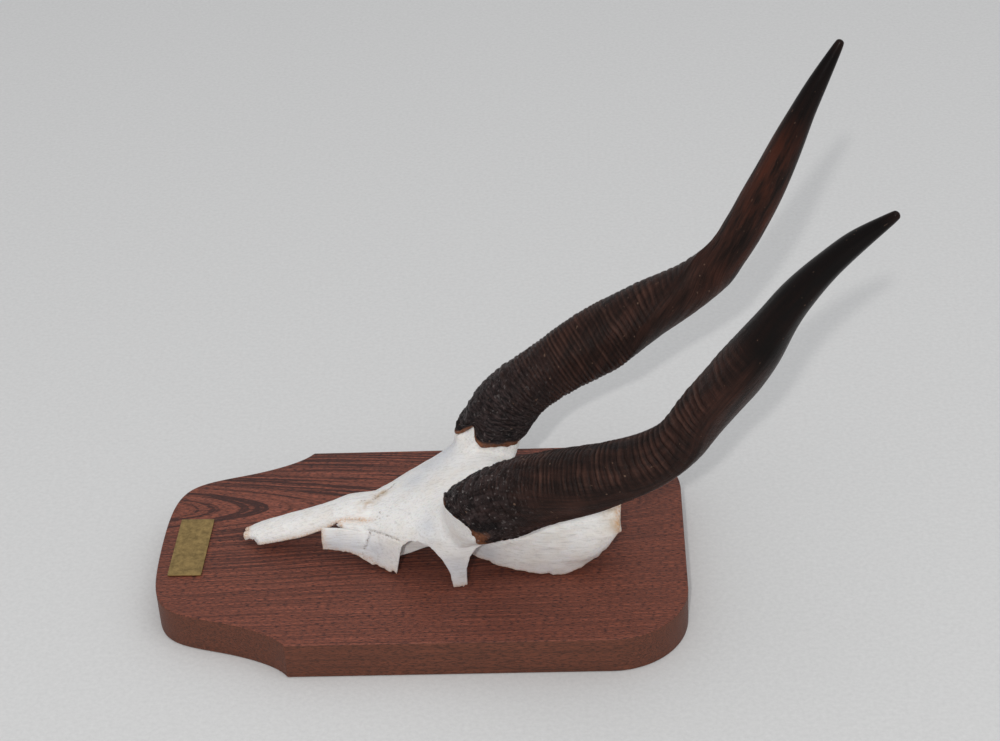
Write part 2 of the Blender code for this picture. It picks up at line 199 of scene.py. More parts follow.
@dataclass(frozen=True)
class HornKeratin(Finish):
    """Horn sheath: keratin grown in rings, brown-black, rubbed smooth at the tip.

    Real horn sheath is packed fibres that run along the horn, crossed by the
    growth ridges. The eye sees dark streaks along it, paler worn crests, a
    crusty black base and a tip with a soft polish. Part of the colour is painted
    light: the crests are lightened and the grooves darkened as painted highlight
    and painted shade, and pale spots on the base are painted glints.
    """

    name: str
    dark: str = "#0b0706"
    brown: str = "#4a2f27"
    # Paler colour laid on the ridge crests: wear, with painted highlight on the ridges
    crest: str = "#5e463b"
    base_black: str = "#100e10"
    base_flake: str = "#403636"
    # Colour of the painted glints: painted highlights on the flakes of the base
    painted_glint: str = "#8f8886"
    red_patch: str = "#4c2518"
    lip: str = "#80523a"
    tip: str = "#070505"
    speck: str = "#6d5648"
    red_amount: float = 0.6
    tip_from: float = 0.74
    roughness: float = 0.44
    ior: float = 1.55
    specular: float = 0.1
    # Real fibres are under 0.1 mm wide: they are drawn coarse enough to show
    fibre_width: float = 0.8 * MM
    fibre_length: float = 18 * MM
    line_width: float = 0.6 * MM
    line_length: float = 6 * MM
    mottle_size: float = 9 * MM
    mottle_length: float = 30 * MM
    speck_size: float = 1.2 * MM
    dust_size: float = 2.6 * MM
    painted_glint_size: float = 1.6 * MM
    flake_size: float = 3.0 * MM
    flake_stretch: float = 1.0
    flake_rise: float = 1.0
    flake_height: float = 2.2 * MM
    relief_height: float = 0.4 * MM
    painted_glint_amount: float = 0.8

    def surface(self, add: partial) -> dict:
        """Adds the finish's nodes.

        Args:
            add: add_node() for the material's tree.

        Returns:
            The shader's inputs.
        """
        sheath = add("Attribute", attribute_name="sheath").outputs["Vector"]
        run, crest, lip, ridged = (add("Attribute", attribute_name=name).outputs["Fac"]
                                   for name in ("run", "crest", "lip", "ridged"))
        drawn, crossed, mottle_place, flake_place = add_rows(
            add, "Mapping", ("Vector", "Scale"),
            (sheath, per(self.fibre_width, self.fibre_width, self.fibre_length)),
            (sheath, per(self.line_length, self.line_length, self.line_width)),
            (sheath, per(self.mottle_size, self.mottle_size, self.mottle_length)),
            (sheath, per(self.flake_size, self.flake_size, self.flake_size / self.flake_stretch)))
        fibres, lines, mottle, flakes, fine, dust, painted_glint_noise = add_rows(
            add, "TexNoise", NOISE,
            (drawn, 1.0, 4.0, 0.6),
            (crossed, 1.0, 4.0, 0.6, 0.2),
            (mottle_place, 1.0, 4.0, 0.62),
            (flake_place, 1.0, 4.0, 0.7),
            (sheath, 1 / self.speck_size, 3.0, 0.7),
            (sheath, 1 / self.dust_size, 1.0, 0.5),
            (sheath, 1 / self.painted_glint_size, 2.0, 0.5))
        # Growth lines cross the ridged face, bare fibres run along the other one
        most = add("MapRange", {"Value": ridged, "To Max": 0.75})
        grain = add("Mix", {0: most, 2: fibres, 3: lines})
        # The third row lightens the brown on the ridge crests and darkens it in the grooves:
        # painted highlight and painted shade. The fifth lays the paler crest colour on the crests:
        # wear with painted highlight.
        streak, patch, raised, lit_face, crest_wear_and_sheen, red_patch = add_rows(
            add, "MapRange", RANGE,
            (grain, 0.34, 0.68, 0.3),
            (mottle, 0.3, 0.66, 0.12),
            (crest, 0.15, 0.75, 0.6, 1.35),
            (ridged, 0.0, 1.0, 1.5, 1.0),
            (crest, 0.4, 1.0, 0.0, 0.42),
            (mottle, 0.42, 0.66, 0.0, self.red_amount))
        # Pale specks are dust and pin holes; the pale spots on the base are painted glints, painted
        # highlights where light would catch the flake edges
        flaked, lip_edge, dusty, painted_glint_spots, uneven = add_rows(
            add, "MapRange", RANGE,
            (flakes, 0.44, 0.62),
            (fine, 0.35, 0.6, 0.45),
            (dust, 0.74, 0.79, 0.0, 0.8),
            (painted_glint_noise, 0.62, 0.72, 0.0, self.painted_glint_amount),
            (fine, 0.0, 1.0, -0.14, 0.14))
        # Along the horn: red-brown light through the thinner sheath past the bend,
        # the black base, the polished tip, roughness, fine relief and crust
        red_zone, base_zone, tip_zone, smooth_tip, calm_tip, crusty = (
            add("ValToRGB", {0: run}, stops=greys(*table)) for table in (
                ((0.0, 0.0), (0.5, 0.12), (0.68, 0.7), (0.8, 1.0), (0.9, 0.1), (1.0, 0.0)),
                ((0.0, 0.85), (0.07, 0.75), (0.2, 0.0), (1.0, 0.0)),
                ((0.0, 0.0), (self.tip_from - 0.1, 0.0), (self.tip_from, 0.8), (0.97, 0.95),
                 (1.0, 0.5)),
                ((0.0, 0.36), (0.12, self.roughness - 0.04), (0.5, self.roughness),
                 (0.75, 0.36), (1.0, 0.25)),
                ((0.0, 1.0), (0.6, 0.7), (0.85, 0.12), (1.0, 0.08)),
                ((0.0, self.flake_rise), (0.1, 0.8 * self.flake_rise),
                 (0.28, 0.12 * self.flake_rise), (0.5, 0.0))))
        half, crest_wear_and_sheen_mix, red, lipped, painted_glints = add_rows(
            add, "Math", (0, 1), (streak, patch), (crest_wear_and_sheen, patch), (red_zone, red_patch),
            (lip, lip_edge), (painted_glint_spots, base_zone), operation="MULTIPLY")
        brown_some = add("Math", {0: half, 1: raised}, operation="MULTIPLY", use_clamp=True)
        brownness = add("Math", {0: brown_some, 1: lit_face}, operation="MULTIPLY")
        crust = add("MixRGB", {0: flaked, 1: linear(self.base_black), 2: linear(self.base_flake)})
        # The colours lie over each other, from the body up to the painted glints
        colour = add("MixRGB", {0: brownness, 1: linear(self.dark), 2: linear(self.brown)})
        for amount, over in ((crest_wear_and_sheen_mix, linear(self.crest)), (red, linear(self.red_patch)),
                             (base_zone, crust), (tip_zone, linear(self.tip)),
                             (lipped, linear(self.lip)), (dusty, linear(self.speck)),
                             (painted_glints, linear(self.painted_glint))):
            colour = add("MixRGB", {0: amount, 1: colour, 2: over})
        rough = add("Math", {0: smooth_tip, 1: uneven}, operation="ADD", use_clamp=True)
        flaky = add("Bump", {"Height": flakes, "Distance": self.flake_height, "Strength": crusty})
        relief = add("Math", {0: grain, 1: fine}, operation="ADD")
        bump = add("Bump", {"Height": relief, "Distance": self.relief_height, "Strength": calm_tip,
                            "Normal": flaky})
        return {"Base Color": colour, "Roughness": rough, "Normal": bump, "IOR": self.ior,
                "Specular IOR Level": self.specular}


@dataclass(frozen=True)
class BleachedBone(Finish):
    """Bone: boiled clean and whitened with peroxide, dry and unsealed.

    The eye sees warm white, fine lines along the growth, open pores, brown dirt
    in the seams and tan sawn or torn edges. Cool grey patches are painted shade
    on the near side walls and in the groove of the far forehead.
    """

    name: str = "bleached bone"
    white: str = "#f2f1ef"
    cream: str = "#e8e0d5"
    # A cool grey laid on as painted shade where the bone's side walls and grooves lie in shade
    painted_shade: str = "#dcdee2"
    tan: str = "#bfa27c"
    dirt: str = "#5a3c26"
    edge: str = "#c99a6c"
    vein: str = "#a8a4a0"
    roughness: float = 0.55
    ior: float = 1.55
    glow: float = 0.12
    glow_depth: float = 1.5 * MM
    glow_reach: tuple = (1.0, 0.7, 0.45)
    # Real pores are 0.1 to 0.3 mm wide: each spot stands for a few of them
    pore_size: float = 0.9 * MM
    line_width: float = 1.0 * MM
    line_length: float = 9 * MM
    patch_size: float = 12 * MM
    relief_height: float = 0.22 * MM

    def surface(self, add: partial) -> dict:
        """Adds the finish's nodes.

        Args:
            add: add_node() for the material's tree.

        Returns:
            The shader's inputs.
        """
        place = add("TexCoord").outputs["Object"]
        seam, edge, stain, painted_shade = (add("Attribute", attribute_name=name).outputs["Fac"]
                                   for name in ("seam", "edge", "stain", "painted_shade"))
        drawn = add("Mapping", {"Vector": place, "Scale": per(
            self.line_length, self.line_width, self.line_width)})
        patches, pores, lines = add_rows(
            add, "TexNoise", NOISE,
            (place, 1 / self.patch_size, 4.0, 0.6),
            (place, 1 / self.pore_size, 4.0, 0.7),
            (drawn, 1.0, 4.0, 0.6, 0.4))
        creamy, line_dark, stain_some, pitted, edge_some, broken, rough = add_rows(
            add, "MapRange", RANGE,
            (patches, 0.45, 0.75, 0.0, 0.6),
            (lines, 0.3, 0.5, 0.36, 0.0),
            (patches, 0.35, 0.55),
            (pores, 0.28, 0.44, 0.4, 0.0),
            (pores, 0.35, 0.65),
            (pores, 0.4, 0.6),
            (pores, 0.0, 1.0, self.roughness - 0.12, self.roughness + 0.15))
        stained, edged, dirty = add_rows(
            add, "Math", (0, 1), (stain, stain_some), (edge, edge_some), (seam, broken),
            operation="MULTIPLY")
        # Painted shade, growth lines, stains, pores, cut edges and dirt over white
        colour = add("MixRGB", {0: creamy, 1: linear(self.white), 2: linear(self.cream)})
        for amount, over in ((painted_shade, self.painted_shade), (line_dark, self.vein), (stained, self.tan),
                             (pitted, self.vein), (edged, self.edge), (dirty, self.dirt)):
            colour = add("MixRGB", {0: amount, 1: colour, 2: linear(over)})
        relief = add("Math", {0: lines, 1: pores}, operation="ADD")
        bump = add("Bump", {"Height": relief, "Distance": self.relief_height, "Strength": 0.6})
        return {"Base Color": colour, "Roughness": rough, "Normal": bump, "IOR": self.ior,
                "Subsurface Weight": self.glow, "Subsurface Radius": self.glow_reach,
                "Subsurface Scale": self.glow_depth}


@dataclass(frozen=True)
class OiledHardwood(Finish):
    """Reddish brown tropical hardwood: planed, sanded and oiled to a low sheen.

    The board is flat-sawn, so its growth rings show as arches near the middle
    of the tree and as bands beside it. Open pores draw short dark ticks along
    the grain. The sawn sides are browner than the face, and also darker: painted
    shade on the faces that turn away from the top.
    """

    name: str = "oiled reddish hardwood"
    light: str = "#935443"
    middle: str = "#854a38"
    dark: str = "#3a1e1a"
    pore: str = "#2a171a"
    # The sides' colour: the browner sawn wood, darkened as painted shade
    side: str = "#4e2c1a"
    roughness: float = 0.55
    specular: float = 0.35
    ior: float = 1.5
    ring_pitch: float = 0.9 * MM
    pith_y: float = 34 * MM
    pith_depth: float = 26 * MM
    pith_slope: float = 0.06
    ring_wander: float = 142.86 * MM
    ring_rise_y: tuple = (-45 * MM, 25 * MM)
    ring_calm_x: tuple = (30 * MM, 90 * MM)
    sway: float = 4 * MM
    sway_length: float = 111.11 * MM
    sway_width: float = 26.316 * MM
    fibre_length: float = 45.455 * MM
    fibre_width: float = 1.1111 * MM
    grain_turn: float = 0.02
    # Real pores are about 0.2 mm wide: they are drawn coarse enough to show
    pore_length: float = 3.0 * MM
    pore_width: float = 0.45 * MM
    pore_depth: float = 0.2 * MM

    def surface(self, add: partial) -> dict:
        """Adds the finish's nodes.

        Args:
            add: add_node() for the material's tree.

        Returns:
            The shader's inputs.
        """
        place = add("TexCoord").outputs["Object"]
        x, y, z = add("SeparateXYZ", {0: place}).outputs
        facing = add("SeparateXYZ", {0: add("NewGeometry").outputs["Normal"]}).outputs[2]
        slow, drawn, long_fibres = add_rows(
            add, "Mapping", ("Vector", "Scale", "Rotation"),
            (place, per(self.sway_length, self.sway_width, self.sway_width)),
            (place, per(self.pore_length, self.pore_width, self.pore_width),
             (0.0, 0.0, self.grain_turn)),
            (place, per(self.fibre_length, self.fibre_width, self.fibre_width)))
        wavy, ticks, fibres = add_rows(
            add, "TexNoise", NOISE,
            (slow, 1.0, 2.0, 0.5),
            (drawn, 1.0, 2.0, 0.6),
            (long_fibres, 1.0, 3.0, 0.6))
        # The rings are strongest beside the pith, and fade towards the near side;
        # torn fibres and pores break them into many thin dark lines
        sway_size, ragged, strength, calm_end, upward, fibre_tone, tick_amount, rough = add_rows(
            add, "MapRange", RANGE,
            (wavy, 0.0, 1.0, -self.sway, self.sway),
            (fibres, 0.0, 1.0, -0.22, 0.22),
            (y, *self.ring_rise_y, 0.45, 0.9),
            (x, *self.ring_calm_x, 1.0, 0.5),
            (facing, 0.3, 0.8),
            (fibres, 0.3, 0.7, 0.62, 1.42),
            (ticks, 0.48, 0.61, 0.0, 0.85),
            (fibres, 0.0, 1.0, self.roughness - 0.1, self.roughness + 0.15))
        from_pith = add("Math", {0: y, 1: self.pith_y}, operation="SUBTRACT")
        off_side = add("Math", {0: from_pith, 1: sway_size}, operation="ADD")
        lean = add("Math", {0: x, 1: self.pith_slope, 2: self.pith_depth}, operation="MULTIPLY_ADD")
        height = add("Math", {0: lean, 1: z}, operation="ADD")
        flat = add("CombineXYZ", {0: off_side, 1: height})
        radius = add("VectorMath", {0: flat}, operation="LENGTH").outputs["Value"]
        rings, along, near_end = add_rows(
            add, "Math", (0, 1), (radius, 1 / self.ring_pitch), (x, 1 / self.ring_wander),
            (strength, calm_end), operation="MULTIPLY")
        ring_place = add("CombineXYZ", {0: rings, 1: along})
        ring_bands = add("TexNoise", {"Vector": ring_place, "Scale": 1.0, "Detail": 4.0,
                                      "Roughness": 0.6}, noise_dimensions="2D")
        ring_tone = add("Math", {0: ring_bands, 1: ragged}, operation="ADD")
        banded = add("ValToRGB", {0: ring_tone},
                     stops=[(0.3, linear(self.light)), (0.5, linear(self.middle)),
                            (0.555, linear(self.dark)), (0.68, linear(self.dark))])
        on_face = add("Math", {0: near_end, 1: upward}, operation="MULTIPLY")
        body = add("MixRGB", {0: on_face, 1: linear(self.middle), 2: banded})
        toned = add("VectorMath", {0: body, 1: fibre_tone}, operation="MULTIPLY")
        ticked = add("MixRGB", {0: tick_amount, 1: toned, 2: linear(self.pore)})
        # The sides take a browner, darker colour: the sawn wood's own tone, with painted shade that
        # sets them off from the face
        side_tone_and_shade = add("MapRange", {"Value": upward, "To Min": 0.6, "To Max": 0.0})
        colour = add("MixRGB", {0: side_tone_and_shade, 1: ticked, 2: linear(self.side)})
        hollow = add("Math", {0: fibres, 1: tick_amount}, operation="SUBTRACT")
        bump = add("Bump", {"Height": hollow, "Distance": self.pore_depth, "Strength": 0.55})
        return {"Base Color": colour, "Roughness": rough, "Normal": bump, "IOR": self.ior,
                "Specular IOR Level": self.specular}


@dataclass(frozen=True)
class TarnishedBrass(Finish):
    """Brass sheet: sheared, rubbed along its length and left to dull in the air.

    The eye sees an olive gold with cloudy tarnish and fine scratches.
    """

    name: str = "tarnished brass sheet"
    bright: str = "#bb9f69"
    dull: str = "#927d53"
    roughness: float = 0.42
    cloud_size: float = 4 * MM
    # Real rub marks are far finer than this: they are drawn coarse enough to show
    scratch_width: float = 0.35 * MM
    scratch_length: float = 12 * MM
    scratch_depth: float = 0.05 * MM

    def surface(self, add: partial) -> dict:
        """Adds the finish's nodes.

        Args:
            add: add_node() for the material's tree.

        Returns:
            The shader's inputs.
        """
        place = add("TexCoord").outputs["Object"]
        drawn = add("Mapping", {"Vector": place, "Scale": per(
            self.scratch_width, self.scratch_length, self.scratch_width)})
        clouds, scratches = add_rows(
            add, "TexNoise", NOISE,
            (place, 1 / self.cloud_size, 5.0, 0.68),
            (drawn, 1.0, 3.0, 0.6))
        tarnish, rough = add_rows(
            add, "MapRange", RANGE,
            (clouds, 0.36, 0.64),
            (clouds, 0.0, 1.0, self.roughness - 0.1, self.roughness + 0.2))
        colour = add("MixRGB", {0: tarnish, 1: linear(self.bright), 2: linear(self.dull)})
        bump = add("Bump", {"Height": scratches, "Distance": self.scratch_depth, "Strength": 0.5})
        return {"Base Color": colour, "Roughness": rough, "Normal": bump, "Metallic": 1.0}


@dataclass(frozen=True)
class PaintedBoard(Finish):
    """The pale floor: a sheet of matt white card with a faint tooth."""

    name: str = "pale matt card"
    colour: str = "#e8e9e9"
    shade: str = "#d3d4d4"
    roughness: float = 0.85
    # Real card has a far finer tooth: it is drawn coarse enough to show
    tooth_size: float = 2.5 * MM
    tooth_height: float = 0.3 * MM

    def surface(self, add: partial) -> dict:
        """Adds the finish's nodes.

        Args:
            add: add_node() for the material's tree.

        Returns:
            The shader's inputs.
        """
        place = add("TexCoord").outputs["Object"]
        tooth = add("TexNoise", {"Vector": place, "Scale": 1 / self.tooth_size, "Detail": 3.0,
                                 "Roughness": 0.6})
        colour = add("MixRGB", {0: tooth, 1: linear(self.colour), 2: linear(self.shade)})
        bump = add("Bump", {"Height": tooth, "Distance": self.tooth_height, "Strength": 0.25})
        return {"Base Color": colour, "Roughness": self.roughness, "Normal": bump}


# ---- Curves, noise and meshes


def smooth_path(points: np.ndarray, steps: int) -> np.ndarray:
    """Draws a smooth curve through points.

    Args:
        points: The points to pass through, one row each.
        steps: Steps between each two points.

    Returns:
        The curve's points, ends included.
    """
    points = np.asarray(points, float)
    ends = np.vstack([points[0] * 2 - points[1], points, points[-1] * 2 - points[-2]])
    a, b, c, d = ends[:-3], ends[1:-2], ends[2:-1], ends[3:]
    t = (np.arange(steps) / steps)[None, :, None]
    a, b, c, d = (part[:, None, :] for part in (a, b, c, d))
    curve = (b * 2 + (c - a) * t + (a * 2 - b * 5 + c * 4 - d) * t**2
             + (b * 3 - a - c * 3 + d) * t**3) / 2
    return np.vstack([curve.reshape(-1, points.shape[1]), points[-1:]])


def at(table: tuple, places: np.ndarray) -> np.ndarray:
    """Reads values from a short table of (place, value) pairs.

    Args:
        table: The pairs, by rising place.
        places: Where to read.

    Returns:
        One value for each place.
    """
    known = np.array(table, float)
    return np.interp(places, known[:, 0], known[:, 1])


def soft_table(table: tuple, places: np.ndarray) -> np.ndarray:
    """Reads a short table along a smooth line through its values.

    Args:
        table: (place, value) pairs, by rising place.
        places: Where to read.

    Returns:
        One value for each place.
    """
    line = smooth_path(np.array(table, float), 16)
    return np.interp(places, line[:, 0], line[:, 1])


def soft_step(low: float, high: float, values: np.ndarray) -> np.ndarray:
    """A smooth rise from 0 at the low value to 1 at the high one."""
    t = np.clip((values - low) / (high - low), 0, 1)
    return t * t * (3 - 2 * t)


def noise(points: np.ndarray, size: float, seed: int, octaves: int = 1) -> np.ndarray:
    """Smooth seeded noise in space.

    Args:
        points: Places in millimetres, one row of three each.
        size: The size of its largest lumps in millimetres.
        seed: Which pattern.
        octaves: How many finer layers are added, each half as strong.

    Returns:
        Values from about -1 to 1.
    """
    total = np.zeros(len(points))
    for octave in range(octaves):
        scaled = points / size * 2**octave + 17.3 * octave
        cell = np.floor(scaled)
        t = scaled - cell
        t = t * t * (3 - 2 * t)
        cell = cell.astype(np.int64)
        layer = np.zeros(len(points))
        for corner in range(8):
            step = np.array([corner & 1, corner >> 1 & 1, corner >> 2 & 1])
            n = cell + step
            h = (n[:, 0] * 374761393 + n[:, 1] * 668265263 + n[:, 2] * 1440662683
                 + (seed + octave) * 362437) & 0xFFFFFFFF
            h = ((h ^ (h >> 13)) * 1274126177) & 0xFFFFFFFF
            value = (h ^ (h >> 16)) / 0x7FFFFFFF - 1
            layer += value * np.prod(np.where(step, t, 1 - t), axis=1)
        total += layer / 2**octave
    return total


def bumps(angle: np.ndarray, table: tuple) -> np.ndarray:
    """Soft bumps round a ring.

    Args:
        angle: Where to read, in radians.
        table: Place, height and spread of each bump.

    Returns:
        Their summed height at each angle.
    """
    total = np.zeros(len(angle))
    for place, height, spread in table:
        off = (angle - place + pi) % tau - pi
        total += height * np.exp(-(off / spread)**2)
    return total


def tree_of(points: np.ndarray) -> KDTree:
    """Sorts points for finding the nearest one.

    Args:
        points: The points, one row each.

    Returns:
        The search tree.
    """
    tree = KDTree(len(points))
    for index, point in enumerate(points):
        tree.insert(point, index)
    tree.balance()
    return tree


def place_object(name: str, data: ID) -> Object:
    """Puts a new object into the scene.

    Args:
        name: Its name.
        data: Its mesh, light or camera.

    Returns:
        The object.
    """
    item = bpy.data.objects.new(name, data)
    bpy.context.scene.collection.objects.link(item)
    return item


def add_object(name: str, points: np.ndarray, faces: list,
               material: Material | None = None) -> Object:
    """Makes a mesh object from points in millimetres.

    Args:
        name: The object's name.
        points: Its points, one row each.
        faces: Its faces, as rows of point numbers.
        material: Its finish.

    Returns:
        The new object, with smooth faces turned outwards.
    """
    mesh = bpy.data.meshes.new(name)
    mesh.from_pydata((np.asarray(points) * MM).tolist(), [], faces)
    shape = bmesh.new()
    shape.from_mesh(mesh)
    bmesh.ops.recalc_face_normals(shape, faces=shape.faces)
    shape.to_mesh(mesh)
    shape.free()
    mesh.shade_smooth()
    if material:
        mesh.materials.append(material)
    return place_object(name, mesh)


def add_values(item: Object, name: str, values: np.ndarray) -> None:
    """Stores one number or one vector for each point of a mesh.

    Args:
        item: The mesh object.
        name: The name that the material reads.
        values: One value or one row of three for each point.
    """
    kind, key = ("FLOAT", "value") if values.ndim == 1 else ("FLOAT_VECTOR", "vector")
    item.data.attributes.new(name, kind, "POINT").data.foreach_set(
        key, values.astype(np.float32).ravel())


def add_modifier(item: Object, name: str, kind: str, **settings: object) -> None:
    """Adds one modifier.

    Args:
        item: The mesh object.
        name: The modifier's name.
        kind: Its type.
        **settings: Its own properties.
    """
    step = item.modifiers.new(name, kind)
    for key, value in settings.items():
        setattr(step, key, value)


def apply_modifiers(item: Object) -> None:
    """Turns an object's modifiers into its mesh.

    Args:
        item: The mesh object.
    """
    shown = item.evaluated_get(bpy.context.evaluated_depsgraph_get())
    mesh = bpy.data.meshes.new_from_object(shown)
    old = item.data
    item.modifiers.clear()
    item.data = mesh
    bpy.data.meshes.remove(old)


def points_of(item: Object) -> tuple[np.ndarray, np.ndarray]:
    """Reads a mesh's points and their normals.

    Args:
        item: The mesh object.

    Returns:
        Points in millimetres, and unit normals.
    """
    count = len(item.data.vertices)
    points = np.empty(count * 3, np.float32)
    item.data.vertices.foreach_get("co", points)
    normals = np.empty(count * 3, np.float32)
    item.data.vertex_normals.foreach_get("vector", normals)
    return points.reshape(-1, 3).astype(float) / MM, normals.reshape(-1, 3).astype(float)


def tube_faces(rings: int, sides: int) -> list:
    """Faces of a closed skin over rings of points.

    Args:
        rings: How many rings.
        sides: How many points in each.

    Returns:
        Quads between the rings, and one face over each end.
    """
    ring, corner = np.meshgrid(np.arange(rings - 1), np.arange(sides), indexing="ij")
    a = ring * sides + corner
    b = ring * sides + (corner + 1) % sides
    faces = np.stack([a, b, b + sides, a + sides], axis=-1).reshape(-1, 4).tolist()
    last = (rings - 1) * sides
    return faces + [list(range(sides))[::-1], list(range(last, last + sides))]


# ---- Pieces


@dataclass
class Plaque:
    """The shaped board: rounded nose end, narrow neck, shoulders, round corners."""

    length: float = 295.0
    width: float = 174.4
    thickness: float = 22.5
    corner: float = 42.5
    arris: float = 0.8
    shoulder_x: float = -69.0
    neck: tuple = (-107.5, 66.5)
    neck_angle: float = radians(16)
    end_handle: float = 56.0
    neck_handles: tuple = (35.0, 12.0)
    shoulder_angle: float = radians(58)
    shoulder_handle: float = 11.5
    steps: tuple = (54, 24, 36)
    finish: OiledHardwood = field(default_factory=OiledHardwood)

    @staticmethod
    def bezier(a: np.ndarray, b: np.ndarray, c: np.ndarray, d: np.ndarray,
               steps: int) -> np.ndarray:
        """One cubic curve without its last point."""
        t = (np.arange(steps) / steps)[:, None]
        return a * (1 - t)**3 + b * 3 * t * (1 - t)**2 + c * 3 * t**2 * (1 - t) + d * t**3

    def outline(self) -> np.ndarray:
        """The board's outline seen from above.

        Returns:
            Its points in order, x and y.
        """
        end = np.array([-self.length / 2, 0.0])
        neck = np.array(self.neck)
        shoulder = np.array([self.shoulder_x, self.width / 2])
        lean = np.array([cos(self.neck_angle), sin(self.neck_angle)])
        rise = np.array([cos(self.shoulder_angle), sin(self.shoulder_angle)])
        end_steps, neck_steps, corner_steps = self.steps
        first = self.bezier(end, end + [0, self.end_handle], neck - lean * self.neck_handles[0],
                            neck, end_steps)
        second = self.bezier(neck, neck + lean * self.neck_handles[1],
                             shoulder - rise * self.shoulder_handle, shoulder, neck_steps)
        turn = pi / 2 * (1 - np.arange(corner_steps + 1) / corner_steps)
        centre = np.array([self.length, self.width]) / 2 - self.corner
        round_corner = centre + np.stack([np.cos(turn), np.sin(turn)], axis=1) * self.corner
        side = np.vstack([first, second, shoulder[None], round_corner])
        return np.vstack([side, side[:0:-1] * [1, -1]])

    def build(self) -> Object:
        """Builds and dresses the board.

        Returns:
            The board.
        """
        outline = self.outline()
        count = len(outline)
        levels = [np.column_stack([outline, np.full(count, z)]) for z in (0.0, self.thickness)]
        board = add_object("board", np.vstack(levels), tube_faces(2, count), self.finish.build())
        add_modifier(board, "eased edges", "BEVEL", width=self.arris * MM, segments=4,
                     angle_limit=radians(40))
        apply_modifiers(board)
        board.data.set_sharp_from_angle(angle=radians(35))
        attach(board, BODY)
        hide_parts("plaque")
        return board


@dataclass
class NamePlate:
    """The bare brass plate, two inches by three quarters."""

    size: tuple = (19.0, 50.8, 0.9)
    centre: tuple = (-130.2, -2.0)
    turn: float = radians(-1)
    underside: float = 22.8
    corner_cut: float = 0.15
    arris: float = 0.2
    curl: float = 0.048
    steps: tuple = (12, 32)
    finish: TarnishedBrass = field(default_factory=TarnishedBrass)

    def build(self) -> Object:
        """Builds and dresses the plate.

        Returns:
            The plate.
        """
        width, height, thickness = self.size
        shape = bmesh.new()
        bmesh.ops.create_grid(shape, x_segments=self.steps[0], y_segments=self.steps[1],
                              size=0.5)
        for vert in shape.verts:
            u, v = vert.co.x * 2, vert.co.y * 2
            cut = self.corner_cut if abs(u * v) > 0.99 else 0.0
            # Sheared sheet is never quite flat: its long edges curl down a hair
            vert.co = (u * (width / 2 - cut), v * (height / 2 - cut), -self.curl * u * u)
        mesh = bpy.data.meshes.new("brass_plate")
        shape.to_mesh(mesh)
        shape.free()
        place = Matrix.Translation(Vector((*self.centre, self.underside + thickness)))
        mesh.transform(Matrix.Scale(MM, 4) @ place @ Matrix.Rotation(self.turn, 4, "Z"))
        mesh.materials.append(self.finish.build())
        plate = place_object("brass_plate", mesh)
        add_modifier(plate, "thickness", "SOLIDIFY", thickness=(thickness - self.curl) * MM,
                     offset=-1)
        add_modifier(plate, "eased edges", "BEVEL", width=self.arris * MM, segments=2,
                     angle_limit=radians(40))
        apply_modifiers(plate)
        plate.data.shade_smooth()
        plate.data.set_sharp_from_angle(angle=radians(30))
        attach(plate, BODY)
        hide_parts("name_plate")
        return plate


